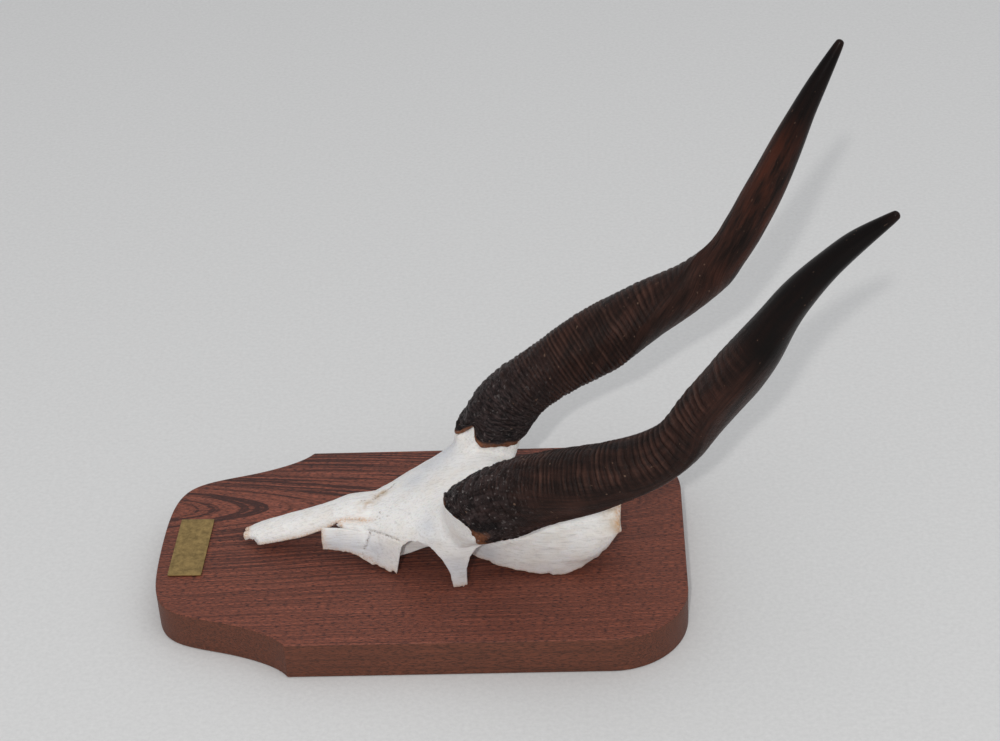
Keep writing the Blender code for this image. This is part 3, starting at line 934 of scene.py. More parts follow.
@dataclass
class Horn:
    """One spiral horn sheath, swept along its own line."""

    hand: Hand
    path: tuple
    width: tuple
    keel_turn: tuple
    finish: HornKeratin
    notches: tuple = ()
    lip_reach: tuple = ()
    full_ridges: float = 0.28
    keel_height: tuple = ((0.0, 0.04), (0.16, 0.08), (0.4, 0.12), (0.7, 0.12), (0.88, 0.06),
                          (1.0, 0.0))
    keel_edge: tuple = ((0.0, 0.01), (0.2, 0.04), (0.36, 0.11), (0.62, 0.11), (0.85, 0.04),
                        (1.0, 0.0))
    keel_spread: float = 0.4
    tip_radius: float = 1.4
    tip_length: float = 1.8
    ridge_pitch: tuple = ((0.0, 2.3), (0.25, 2.6), (0.38, 3.8), (0.5, 5.2), (0.7, 6.0))
    ridge_depth: tuple = ((0.0, 0.3), (0.08, 0.4), (0.2, 0.5), (0.34, 0.5), (0.44, 0.8),
                          (0.52, 0.72), (0.6, 0.3), (0.68, 0.0))
    crust_depth: tuple = ((0.0, 1.1), (0.07, 1.1), (0.16, 0.5), (0.26, 0.0))
    base_rake: float = 12.0
    base_rake_turn: float = radians(30)
    base_rake_end: float = 42.0
    rim_ragged: float = 1.5
    sides: int = 104
    fine_step: float = 0.4
    tip_step: float = 1.0
    smooth_from: float = 0.66
    # Rings of the blunt tip, as shares of its radius from the end
    tip_rings: tuple = (1.0, 0.75, 0.5, 0.3, 0.15, 0.05, 0.0)
    # Rings inside the mouth: how far under the outer face, and how far up
    mouth: tuple = ((2.3, 6.0), (2.0, 1.5), (1.7, 0.35), (0.5, -0.15))
    # The same for the bone stump under it
    stump: tuple = ((1.0, -1.2), (2.6, 3.0))
    # The side vector that frame() starts from
    first_side: tuple = (-1.0, 0.0, 0.6)
    # Noise and finish are read on a straightened horn of this radius
    pattern_radius: float = 15.0
    # Size and strength of what bends, splits and spaces the ridges unevenly
    wave: tuple = (13.0, 0.32)
    fork: tuple = (5.0, 0.12)
    jitter: tuple = (2.1, 0.35)
    # Turns from the keel over which the ridges come and go, in radians
    ridged_from: tuple = (0.0, -0.65)
    ridged_to: tuple = (-2.9, -2.3)
    # Lumps of the crust: their size, rise, and the fall of the cracks between
    flake_lumps: tuple = (5.0, 0.9, 2.6)
    # Size and height of the long dents that all horn has
    unevenness: tuple = (2.6, 0.14)
    # The ragged rim is read on a ring of this radius, and fades up the horn
    rim_radius: float = 17.0
    rim_fade: float = 14.0
    lip_width: float = 0.6

    def frame(self, curve: np.ndarray) -> tuple[np.ndarray, np.ndarray, np.ndarray]:
        """Carries a side vector along the curve without twist.

        Args:
            curve: The curve's points.

        Returns:
            Tangents, side vectors, and the vectors square to both.
        """
        ahead = np.vstack([curve[1:], curve[-1:]])
        behind = np.vstack([curve[:1], curve[:-1]])
        tangents = ahead - behind
        tangents /= np.linalg.norm(tangents, axis=1)[:, None]
        side = np.array(self.first_side)
        sides = []
        for tangent in tangents:
            side = side - tangent * side.dot(tangent)
            side = side / np.linalg.norm(side)
            sides.append(side)
        sides = np.array(sides)
        return tangents, sides, np.cross(tangents, sides)

    def stations(self) -> tuple[np.ndarray, np.ndarray, float]:
        """Spaces rings along the path, close where the ridges are.

        Returns:
            Ring centres, their distances from the base, and the length.
        """
        curve = smooth_path(self.path, 48)
        lengths = np.concatenate([[0], np.cumsum(np.linalg.norm(np.diff(curve, axis=0), axis=1))])
        length = lengths[-1]
        change = self.smooth_from * length
        distances = np.concatenate([
            np.arange(0, change, self.fine_step),
            np.arange(change, length - self.tip_length, self.tip_step),
            length - self.tip_radius * np.array(self.tip_rings)])
        centres = np.stack([np.interp(distances, lengths, curve[:, k]) for k in range(3)], axis=1)
        return centres, distances, length

    def rings(self) -> dict:
        """Works out the sheath's points and what its finish reads.

        Returns:
            Points by ring and corner, and the values stored on them.
        """
        hand = self.hand.value
        centres, distance, length = self.stations()
        tangents, side, other = self.frame(centres)
        share = distance / length
        keel = hand * np.radians(soft_table(self.keel_turn, share))
        angle = tau * np.arange(self.sides) / self.sides
        out = (side[:, None] * np.cos(angle)[None, :, None]
               + other[:, None] * np.sin(angle)[None, :, None])
        turn = angle[None] - keel[:, None]
        straight = np.stack([self.pattern_radius * np.cos(turn),
                             self.pattern_radius * np.sin(turn),
                             np.broadcast_to(distance[:, None], turn.shape)], axis=-1)
        flat = straight.reshape(-1, 3)
        shape = turn.shape

        # A lens-like section: a sharp keel in front, a round one behind, a blunt tip
        turned = (turn + pi) % tau - pi
        radius = soft_table(self.width, share)[:, None] * (
            1 + at(self.keel_height, share)[:, None] * np.abs(np.cos(turn))**4
            + at(self.keel_edge, share)[:, None] * np.exp(-np.abs(turned) / self.keel_spread))
        left = np.clip(length - distance, 0, self.tip_radius)
        blunt = np.sqrt(np.clip(2 * self.tip_radius * left - left * left, 0, None))
        radius = radius * np.maximum(blunt / self.tip_radius, 0.04)[:, None]

        # Growth ridges: rounded crests between sharp grooves, wavy across the horn
        pitch = at(self.ridge_pitch, share)
        phase = np.concatenate([[0], np.cumsum(np.diff(distance) / pitch[:-1])])
        wave = noise(flat * [1, 1, 0.4], self.wave[0], 3 + hand, 2).reshape(shape)
        fork = noise(flat * [1, 1, 0.8], self.fork[0], 7 + hand).reshape(shape)
        jitter = noise(np.column_stack([phase, phase * 0, phase * 0]), self.jitter[0],
                       61 + hand)[:, None]
        phase = (phase[:, None] + self.jitter[1] * jitter + self.wave[1] * wave
                 + self.fork[1] * fork)
        groove = np.abs(2 * (phase - np.floor(phase)) - 1)
        crest = 1 - groove**3
        uneven = 0.66 + 0.42 * noise(np.column_stack([
            np.floor(phase).ravel() * 7.0, flat[:, 0] * 0.16, flat[:, 1] * 0.16]),
            2.0, 11 + hand).reshape(shape)
        # They stop at the keel; the face beyond it shows bare fibres
        face = soft_step(*self.ridged_from, turned) * soft_step(*self.ridged_to, turned)
        shown = np.maximum(face, soft_step(self.full_ridges + 0.06, self.full_ridges,
                                           share)[:, None])
        most = at(self.ridge_depth, share)[:, None]
        depth = most * (0.08 + 0.92 * shown) * uneven
        radius += depth * (crest * 2 - 1.2)

        # A black crust of torn, lapped flakes covers the base
        crust = at(self.crust_depth, share)[:, None]
        size, rise, fall = self.flake_lumps
        lumps = noise(flat * [1, 1, 1.8], size, 21 + hand, 4).reshape(shape)
        radius += crust * (rise - np.abs(lumps) * fall)
        size, amount = self.unevenness
        radius += (amount * noise(flat * [1, 1, 0.12], size, 31 + hand, 2).reshape(shape)
                   * soft_step(0.9, 0.55, share)[:, None])

        # The mouth is raked back, with a ragged rim and a few deep notches
        fade = np.clip(1 - distance / self.base_rake_end, 0, None)
        slide = -self.base_rake * np.cos(angle - hand * self.base_rake_turn)[None] * (
            fade * fade)[:, None]
        rim = np.stack([np.cos(angle), np.sin(angle), np.zeros(self.sides)], axis=1)
        ragged = (self.rim_ragged * noise(rim * self.rim_radius, 7, 41 + hand, 3)
                  + bumps(angle, self.notches))
        slide = slide + ragged[None] * (
            np.clip(1 - distance / self.rim_fade, 0, None)**1.5)[:, None]
        points = (centres[:, None] + tangents[:, None] * slide[..., None]
                  + out * radius[..., None])
        return {"points": points, "straight": straight, "share": share, "distance": distance,
                "crest": (1 - groove) * (most > 0) * shown * uneven, "ridged": shown,
                "centre": centres[0], "tangent": tangents[0], "out": out[0],
                "radius": radius[0], "slide": slide[0]}

    def inner_ring(self, made: dict, inset: float, up: float) -> np.ndarray:
        """A ring inside the sheath's mouth.

        Args:
            made: What rings() returned.
            inset: How far inside the outer face.
            up: How far up into the horn.

        Returns:
            The ring's points.
        """
        return (made["centre"] + made["tangent"] * (made["slide"] + up)[:, None]
                + made["out"] * (made["radius"] - inset)[:, None])

    def build(self) -> Object:
        """Builds and dresses the sheath, with its hollow mouth.

        Returns:
            The horn.
        """
        made = self.rings()
        name = f"horn_sheath_{self.hand.name.lower()}"
        inner = [self.inner_ring(made, inset, up) for inset, up in self.mouth]
        points = np.concatenate([np.array(inner), made["points"]])
        extra = len(inner)
        horn = add_object(name, points.reshape(-1, 3), tube_faces(len(points), self.sides),
                          self.finish.build())
        base = np.repeat(made["straight"][:1], extra, axis=0)
        add_values(horn, "sheath", np.concatenate([base, made["straight"]]).reshape(-1, 3) * MM)
        share = np.concatenate([np.zeros(extra), made["share"]])
        add_values(horn, "run", np.repeat(share, self.sides))
        for key in ("crest", "ridged"):
            values = np.concatenate([np.zeros((extra, self.sides)), made[key]])
            add_values(horn, key, values.ravel())
        distance = np.concatenate([np.zeros(extra), made["distance"]])
        angle = tau * np.arange(self.sides) / self.sides
        reach = self.lip_width + bumps(angle, self.lip_reach)
        reach *= 1 + 0.4 * noise(made["straight"][0], 5, 71)
        lip = 1 - soft_step(0.4, 1.0, distance[:, None] / reach)
        add_values(horn, "lip", lip.ravel())
        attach(horn, BODY)
        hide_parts(f"horn_{self.hand.name.lower()}")
        return horn

    def stump_top(self) -> list[np.ndarray]:
        """Rings of the bone stump that goes up into the sheath.

        Returns:
            A ring just under the sheath's lip, and one inside its mouth.
        """
        made = self.rings()
        return [self.inner_ring(made, inset, up) for inset, up in self.stump]


@dataclass
class SkullCap:
    """The sawn skull: nose bones, forehead, sockets and braincase in one piece of bone."""

    left: Horn
    right: Horn
    place: tuple = (33.0, -5.5, 22.5)
    yaw: float = radians(-4)
    bone: float = 2.7
    nasal_bone: float = 2.2
    grain: float = 0.5
    most_faces: int = 190000
    smoothing: int = 5
    forehead: tuple = (
        (-75.5, ((0, 26.5), (5, 26.2), (9, 25.6), (11, 25.2), (12, 24.8), (12.6, 24.5),
                 (13, 24.2))),
        (-66.0, ((0, 28.6), (6, 27.8), (11, 25.6), (15.5, 23), (19, 19), (21, 14), (21.8, 8))),
        (-54.0, ((0, 33), (8, 32.2), (14, 29.8), (19, 26.2), (23, 20.5), (24.5, 12), (25, 3))),
        (-41.0, ((0, 38.5), (10, 38), (19, 36), (26, 31.5), (30, 24.5), (30.5, 13), (30.5, 1.5))),
        (-27.0, ((0, 44.5), (11, 44.2), (21, 42.5), (30, 39.5), (36, 32), (36.5, 17), (36.5, 1))),
        (-13.0, ((0, 49.5), (12, 49.2), (23, 49.5), (34, 49), (40.5, 38), (39.5, 18), (38, 0.4))),
        (-3.0, ((0, 52.5), (12, 52.2), (24, 52.5), (36, 52), (42.5, 40), (39.5, 18), (37, 0.4))),
        (8.0, ((0, 53), (12, 53), (24, 53), (36, 52), (42, 42), (38, 20), (35, 3))),
    )
    nasals: tuple = (
        (-133.5, ((0, 7.4), (3.5, 6.6), (6.5, 4.4), (8.5, 1.6))),
        (-121.0, ((0, 12.6), (4.5, 11.7), (8, 8.7), (9.5, 5))),
        (-100.0, ((0, 19.9), (5, 19), (9, 15.6), (10.5, 11.3))),
        (-84.0, ((0, 26), (5.5, 25), (9.5, 21.8), (11.5, 18.8))),
        (-76.0, ((0, 28.8), (5.8, 28), (10, 26), (11.6, 24.4))),
        (-68.0, ((0, 31), (6, 30.2), (10.5, 28), (12.4, 26.4))),
        (-54.0, ((0, 32.5), (7, 31.4), (11, 29.6), (14, 27))),
    )
    braincase: tuple = (
        (-4.0, ((0, 51.6), (12, 51.4), (20.5, 49.5), (23, 34), (21.5, 20), (20.5, 10))),
        (12.0, ((0, 52.4), (13, 50.8), (22.5, 43), (25.2, 29), (25, 15), (23.5, 5))),
        (30.0, ((0, 51), (14.5, 48), (24.5, 39), (28.5, 26), (28, 14), (25.5, 2))),
        (47.0, ((0, 48.5), (14, 45.5), (24.5, 37), (28.5, 26), (28, 13), (24.5, 0.4))),
        (61.0, ((0, 46.5), (12, 44), (22, 36), (26.5, 25), (26, 14), (22, 5.5))),
        (72.0, ((0, 45), (10, 43), (19, 36), (23.5, 26), (23, 19.5), (20.5, 15.5))),
        (79.0, ((0, 43.5), (9, 41.8), (15, 38), (19, 33), (20, 29), (19.5, 26))),
        (79.8, ((0, 37), (7, 36), (12, 33), (15, 29), (15.5, 26), (15, 24))),
        (76.0, ((0, 22), (3, 22), (6, 22), (9, 21.5), (9.5, 20.5), (9, 19.5))),
    )
    cheek: tuple = (
        (-85.0, ((18.5, 24.8), (20, 18), (20, 10.6))),
        (-72.0, ((19, 24.6), (21, 17), (21.2, 9.6))),
        (-58.0, ((19, 22.6), (22, 16), (23, 8))),
    )
    socket: tuple = ((-44, -4), (-41, 12), (-38.5, 23), (-34, 28), (-28, 30.2), (-21.5, 28.5),
                     (-15.5, 21), (-11.5, 11), (-10, -4))
    bar_rear: tuple = ((-3, -4), (-2.5, 14), (0, 24), (4, 31), (12, 36), (12, -4))
    socket_wall: tuple = ((-46, 4.5), (-22, 14.5), (-14, 24), (-14, 47), (-40, 34.5), (-46, 26.5))
    socket_wall_y: float = 17.0
    socket_wall_thick: float = 2.2
    cut_width: float = 60.0
    nose_heights: tuple = (-5.0, 30.0)
    bite_place: tuple = (-133.5, 12.4)
    bite_size: tuple = (11.0, 8.0)
    notch: tuple = (5.0, 1.1)
    # Where a stump stands inside the forehead, and where it leans on the socket bar:
    # x, y, z and radius
    stump_seats: tuple = ((-1.0, 25.0, 33.0, 17.0), (-4.0, 35.5, 31.5, 6.5))
    # The bone is rounded from this far off the sheath's rim, over a ramp, up to the last
    stump_blend: tuple = (0.8, 3.0, 26.0)
    stump_blend_floor: float = 36.0
    stump_smoothing: int = 420
    # Seams, read off the photograph and laid on the bone: x, y, z in the skull's frame
    nasal_seam: tuple = ((-70.0, -10.2, 25.0), (-65.6, -8.2, 27.8), (-61.5, -4.4, 29.9),
                         (-57.4, -0.3, 31.7), (-53.9, 2.9, 32.8), (-50.2, 5.9, 34.2),
                         (-47.3, 9.4, 35.0))
    cheek_seam: tuple = ((-57.6, -19.3, 23.4), (-58.7, -21.4, 19.4), (-61.3, -22.3, 13.0),
                         (-62.2, -22.4, 8.9))
    cheek_crack: tuple = ((-70.5, -10.8, 24.1), (-66.5, -12.6, 22.1), (-58.2, -18.3, 24.0),
                          (-51.5, -22.0, 25.0), (-45.3, -26.4, 25.8), (-39.9, -29.9, 26.6))
    brain_crease: tuple = ((9.0, -24.6, 18.2), (26.0, -27.8, 26.8), (47.9, -26.4, 33.2),
                           (69.1, -19.4, 36.5))
    nose_line: tuple = ((-126, 0, 11.6), (-100, 0, 22), (-84, 0, 26.4), (-66, 0, 29.8))
    # Painted shade on the near side walls and in the far forehead's groove, pits and brown stains:
    # x, y, z and radius
    painted_shade_spots: tuple = ((-19.8, 25.4, 46.1, 11), (-27.4, 16.7, 43.3, 10), (-34.5, 5.3, 41.2, 8),
                         (-22.0, -34.0, 38.0, 7), (-8.0, -38.0, 15.0, 9), (7.1, -23.8, 14.1, 9),
                         (-76.0, -21.0, 16.0, 8), (-66.0, -22.0, 15.0, 8), (-56.0, -22.5, 14.0, 9))
    pitted_spots: tuple = ((-57.0, -1.0, 32.0, 9), (-48.0, -10.0, 33.0, 12))
    stain_spots: tuple = ((78.0, -14.5, 38.5, 7), (79.0, -18.5, 34.0, 6), (-54.0, 3.0, 33.0, 4),
                          (-61.0, -5.0, 30.5, 4))
    # Reach of the muscle line, size of the other forms, and how far each rises or sinks
    crease: tuple = (1.6, 0.5)
    growth: tuple = (2.4, 0.2)
    swell: tuple = (9.0, 0.3)
    tooth: tuple = (1.8, 0.08)
    pits: tuple = (1.5, 0.25)
    edge_reach: float = 1.6
    finish: BleachedBone = field(default_factory=BleachedBone)

    @staticmethod
    def grid(stations: tuple, across: int, along: int) -> np.ndarray:
        """A smooth grid over the right half of a sheet of bone.

        Args:
            stations: Half sections from the midline to the cut edge, by x.
            across: Steps between points of a section.
            along: Steps between sections.

        Returns:
            Points by row along the skull and column across it.
        """
        lines = [smooth_path([(x, y, z) for y, z in half], across) for x, half in stations]
        columns = [smooth_path(column, along) for column in np.array(lines).transpose(1, 0, 2)]
        return np.array(columns).transpose(1, 0, 2)

    @staticmethod
    def both_sides(grid: np.ndarray) -> np.ndarray:
        """The grid carried over the midline to the left half."""
        return np.concatenate([grid[:, :0:-1] * [1, -1, 1], grid], axis=1)

    @staticmethod
    def ragged_edge(grid: np.ndarray, amount: float, size: float, seed: int) -> np.ndarray:
        """Tears the last column of a half grid up and down.

        Args:
            grid: The half grid.
            amount: How far it moves, in millimetres.
            size: The size of the teeth.
            seed: Which pattern.

        Returns:
            The grid with its last columns moved.
        """
        edge = grid[:, -1]
        move = np.abs(noise(edge, size, seed, 3)) * amount
        weight = np.linspace(0, 1, grid.shape[1])**6
        moved = grid.copy()
        moved[..., 2] += move[:, None] * weight[None]
        return moved

    def sheet(self, name: str, grid: np.ndarray, thickness: float,
              hand: int = 1) -> Object:
        """A closed sheet of bone, thickened inwards.

        Args:
            name: The object's name.
            grid: Its outer face.
            thickness: How thick it is.
            hand: Minus one where the grid is a left one.

        Returns:
            The sheet.
        """
        rows, columns = grid.shape[:2]
        along = np.gradient(grid, axis=0)
        over = np.gradient(grid, axis=1)
        normal = np.cross(over, along)
        normal /= np.linalg.norm(normal, axis=2)[..., None]
        inner = grid + normal * thickness * hand
        r, c = np.meshgrid(np.arange(rows - 1), np.arange(columns - 1), indexing="ij")
        a = (r * columns + c).ravel()
        outer_faces = np.stack([a, a + 1, a + columns + 1, a + columns], axis=1)
        count = rows * columns
        inner_faces = outer_faces[:, ::-1] + count
        numbers = np.arange(count).reshape(rows, columns)
        rim = np.concatenate([numbers[0], numbers[1:, -1], numbers[-1, -2::-1],
                              numbers[-2:0:-1, 0]])
        after = np.roll(rim, -1)
        rim_faces = np.stack([after, rim, rim + count, after + count], axis=1)
        faces = np.concatenate([outer_faces, inner_faces, rim_faces]).tolist()
        points = np.concatenate([grid.reshape(-1, 3), inner.reshape(-1, 3)])
        return add_object(name, points, faces)

    @staticmethod
    def prism(name: str, outline: np.ndarray, low: float, high: float,
              axis: str = "Y") -> Object:
        """A straight prism for a cut or a wall.

        Args:
            name: The object's name.
            outline: Points (x, z) for a prism along Y, or (x, y) for one along Z.
            low: Where it starts on that axis.
            high: Where it ends.
            axis: Y or Z.

        Returns:
            The prism.
        """
        outline = np.asarray(outline, float)
        levels = []
        for level in (low, high):
            flat = np.full(len(outline), level)
            if axis == "Y":
                levels.append(np.column_stack([outline[:, 0], flat, outline[:, 1]]))
            else:
                levels.append(np.column_stack([outline, flat]))
        return add_object(name, np.vstack(levels), tube_faces(2, len(outline)))

    @staticmethod
    def combine(target: Object, other: Object, operation: str) -> None:
        """Joins or cuts the target by another closed object.

        Args:
            target: What is changed.
            other: What it is joined with or cut by.
            operation: UNION or DIFFERENCE.
        """
        add_modifier(target, other.name, "BOOLEAN", operation=operation, object=other,
                     solver="MANIFOLD")

    def stump(self, horn: Horn, seat: tuple) -> Object:
        """The bone stump under one horn, from one of its seats.

        Args:
            horn: The horn that it carries.
            seat: The seat's centre and radius.

        Returns:
            The stump, in the skull's own frame.
        """
        hand = horn.hand.value
        tops = [self.into_skull(ring) for ring in horn.stump_top()]
        angle = tau * np.arange(len(tops[0])) / len(tops[0])
        x, y, z, radius = seat
        low = np.column_stack([x - np.cos(angle) * radius, y * hand - np.sin(angle) * radius,
                               np.full(len(angle), z)])
        steps = [low + (tops[0] - low) * t for t in (0.0, 0.25, 0.5, 0.75)]
        rings = np.concatenate([*steps, *tops])
        return add_object(f"stump {hand}", rings, tube_faces(len(steps) + len(tops), len(angle)))

    def matrix(self) -> Matrix:
        """Where the skull's own frame stands."""
        return Matrix.Translation(Vector(self.place) * MM) @ Matrix.Rotation(self.yaw, 4, "Z")

    def into_skull(self, points: np.ndarray) -> np.ndarray:
        """Carries points from the part's frame into the skull's own, in millimetres."""
        to_skull = np.array(self.matrix().inverted())
        return (np.column_stack([points * MM, np.ones(len(points))]) @ to_skull.T)[:, :3] / MM

    def edge_lines(self, nasals: np.ndarray, cheek: np.ndarray, forehead: np.ndarray,
                   braincase: np.ndarray) -> np.ndarray:
        """Gathers points along the sawn and broken edges.

        Args:
            nasals: Half grid of the nose bones.
            cheek: Left grid of the cheek.
            forehead: Half grid of the forehead.
            braincase: Half grid of the braincase.

        Returns:
            Points on those edges.
        """
        lines = [nasals[:3].reshape(-1, 3), nasals[:, -1], cheek[0], cheek[:, -1],
                 forehead[:, -1], braincase[:, -1], braincase[47:50].reshape(-1, 3)]
        points = np.concatenate(lines)
        return np.concatenate([points, points * [1, -1, 1]])

    @staticmethod
    def near(points: np.ndarray, line: np.ndarray, reach: float) -> np.ndarray:
        """How near each point is to a line of points.

        Args:
            points: The points to measure.
            line: The line's points.
            reach: The distance at which nearness has faded.

        Returns:
            One at the line, falling to about zero past the reach.
        """
        tree = tree_of(line)
        low = line.min(axis=0) - reach * 2.5
        high = line.max(axis=0) + reach * 2.5
        close = np.flatnonzero(((points > low) & (points < high)).all(axis=1))
        result = np.zeros(len(points))
        for index in close:
            result[index] = np.exp(-(tree.find(points[index])[2] / reach)**2)
        return result

    def seam_line(self, points: tuple, wander: float, seed: int) -> np.ndarray:
        """A seam's line with the small zigzag of grown bone.

        Args:
            points: Its main points.
            wander: How far it strays.
            seed: Which pattern.

        Returns:
            Points close together along it.
        """
        line = smooth_path(points, 24)
        side = np.stack([noise(line + 40 * k, 1.6, seed + k, 2) for k in range(3)], axis=1)
        return line + side * wander * [1, 1, 0.4]

    def spots(self, points: np.ndarray, spots: tuple) -> np.ndarray:
        """Soft round patches.

        Args:
            points: The points to measure.
            spots: Centres and radii, x, y, z, r.

        Returns:
            The strongest patch at each point, from 0 to 1.
        """
        result = np.zeros(len(points))
        for x, y, z, size in spots:
            off = np.linalg.norm(points - [x, y, z], axis=1)
            result = np.maximum(result, np.exp(-(off / size)**2))
        return result

    def blend_stumps(self, skull: Object) -> None:
        """Rounds the bone where the horn stumps grow out of the forehead.

        Args:
            skull: The skull's mesh, in its own frame.
        """
        points, _ = points_of(skull)
        start, full, end = self.stump_blend
        weight = np.zeros(len(points))
        for horn in (self.left, self.right):
            tree = tree_of(self.into_skull(horn.stump_top()[0]))
            for index in np.flatnonzero(points[:, 2] > self.stump_blend_floor):
                away = tree.find(points[index])[2]
                part = min(1.0, (away - start) / full) if away > start else 0.0
                weight[index] = max(weight[index], part * max(0.0, min(1.0, (end - away) / full)))
        group = skull.vertex_groups.new(name="stump blend")
        for level in range(1, 6):
            chosen = np.flatnonzero(np.round(weight * 5) == level)
            group.add(chosen.tolist(), level / 5, "REPLACE")
        add_modifier(skull, "stump blend", "SMOOTH", vertex_group=group.name,
                     iterations=self.stump_smoothing // 1)
        apply_modifiers(skull)
        skull.vertex_groups.clear()

    def relief(self, skull: Object, edges: np.ndarray) -> None:
        """Presses the fine shapes into the bone and stores what its finish reads.

        Args:
            skull: The skull's mesh, in its own frame.
            edges: Points along the sawn edges.
        """
        points, normals = points_of(skull)
        # Each line with its reach to the sides and how deep it sinks
        seams = [(self.seam_line(self.nasal_seam, 0.7, 5), 0.62, 0.5),
                 (self.seam_line(self.cheek_seam, 0.3, 6), 0.6, 0.7),
                 (self.seam_line(self.cheek_crack, 0.4, 7), 0.55, 0.6),
                 (smooth_path(self.nose_line, 60), 0.5, 0.12)]
        depth = np.zeros(len(points))
        seam = np.zeros(len(points))
        for line, reach, sink in seams:
            close = self.near(points, line, reach)
            depth -= close * sink
            seam = np.maximum(seam, close * min(1.0, sink * 2.2))
        # A raised muscle line, growth lines, broad swells, a fine tooth and pits
        reach, rise = self.crease
        depth += rise * self.near(points, self.seam_line(self.brain_crease, 0.9, 8), reach)
        brain = soft_step(4, 14, points[:, 0])
        size, rise = self.growth
        depth += rise * noise(points * [0.16, 1, 0.7], size, 51, 2) * (0.35 + 0.65 * brain)
        for (size, rise), seed in ((self.swell, 52), (self.tooth, 53)):
            depth += rise * noise(points, size, seed, 2)
        size, sink = self.pits
        specks = soft_step(0.62, 0.8, noise(points, size, 54)) * (
            0.12 + self.spots(points, self.pitted_spots))
        depth -= specks * sink
        points += normals * depth[:, None]
        skull.data.vertices.foreach_set("co", (points * MM).astype(np.float32).ravel())
        edge = self.near(points, edges, self.edge_reach)
        add_values(skull, "seam", np.clip(seam + specks * 0.9, 0, 1))
        add_values(skull, "edge", edge)
        add_values(skull, "stain", self.spots(points, self.stain_spots))
        # Cool grey patches of painted shade
        add_values(skull, "painted_shade", self.spots(points, self.painted_shade_spots))

    def build(self) -> Object:
        """Builds and dresses the skull.

        Returns:
            The skull.
        """
        # Each torn edge: how far it moves, the size of its teeth, which pattern
        forehead = self.ragged_edge(self.grid(self.forehead, 6, 10), 2.2, 3.2, 61)
        nasals = self.grid(self.nasals, 6, 10)
        braincase = self.ragged_edge(self.grid(self.braincase, 6, 8), 1.6, 4.0, 62)
        cheek = self.ragged_edge(self.grid(self.cheek, 6, 10), 1.4, 3.0, 63) * [1, -1, 1]
        skull = self.sheet("skull_cap", self.both_sides(forehead), self.bone)
        tools = [self.prism("socket", self.socket, -self.cut_width, self.cut_width),
                 self.prism("bar rear", self.bar_rear, -self.cut_width, self.cut_width)]
        for tool in tools:
            self.combine(skull, tool, "DIFFERENCE")
        nose = self.sheet("nose", self.both_sides(nasals), self.nasal_bone)
        for side in (-1, 1):
            turn = tau * np.arange(32) / 32
            bite = np.column_stack([self.bite_place[0] + self.bite_size[0] * np.cos(turn),
                                    side * self.bite_place[1] + self.bite_size[1] * np.sin(turn)])
            tools.append(self.prism(f"nose bite {side}", bite, *self.nose_heights, "Z"))
            self.combine(nose, tools[-1], "DIFFERENCE")
        depth, half = self.notch
        tip = self.nasals[0][0]
        cut = ((tip - half, -half), (tip + depth, -0.1), (tip + depth, 0.1), (tip - half, half))
        tools.append(self.prism("nose notch", cut, *self.nose_heights, "Z"))
        self.combine(nose, tools[-1], "DIFFERENCE")
        parts = [nose, self.sheet("cap", self.both_sides(braincase), self.bone),
                 self.sheet("cheek", cheek, self.nasal_bone, -1)]
        for side in (-1, 1):
            inner = side * self.socket_wall_y
            parts.append(self.prism(f"wall {side}", self.socket_wall,
                                    inner - self.socket_wall_thick / 2,
                                    inner + self.socket_wall_thick / 2))
        parts += [self.stump(horn, seat) for horn in (self.left, self.right)
                  for seat in self.stump_seats]
        for part in parts:
            self.combine(skull, part, "UNION")
        add_modifier(skull, "one skin", "REMESH", mode="VOXEL",
                     voxel_size=self.grain * MM)
        add_modifier(skull, "soft edges", "SMOOTH", iterations=self.smoothing)
        apply_modifiers(skull)
        self.blend_stumps(skull)
        for item in tools + parts:
            bpy.data.objects.remove(item)
        faces = len(skull.data.polygons) * 2
        if faces > self.most_faces:
            add_modifier(skull, "fewer faces", "DECIMATE", ratio=self.most_faces / faces)
            apply_modifiers(skull)
        self.relief(skull, self.edge_lines(nasals, cheek, forehead, braincase))
        skull.data.transform(self.matrix())
        skull.data.shade_smooth()
        skull.data.materials.clear()
        skull.data.materials.append(self.finish.build())
        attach(skull, BODY)
        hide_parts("skull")
        return skull


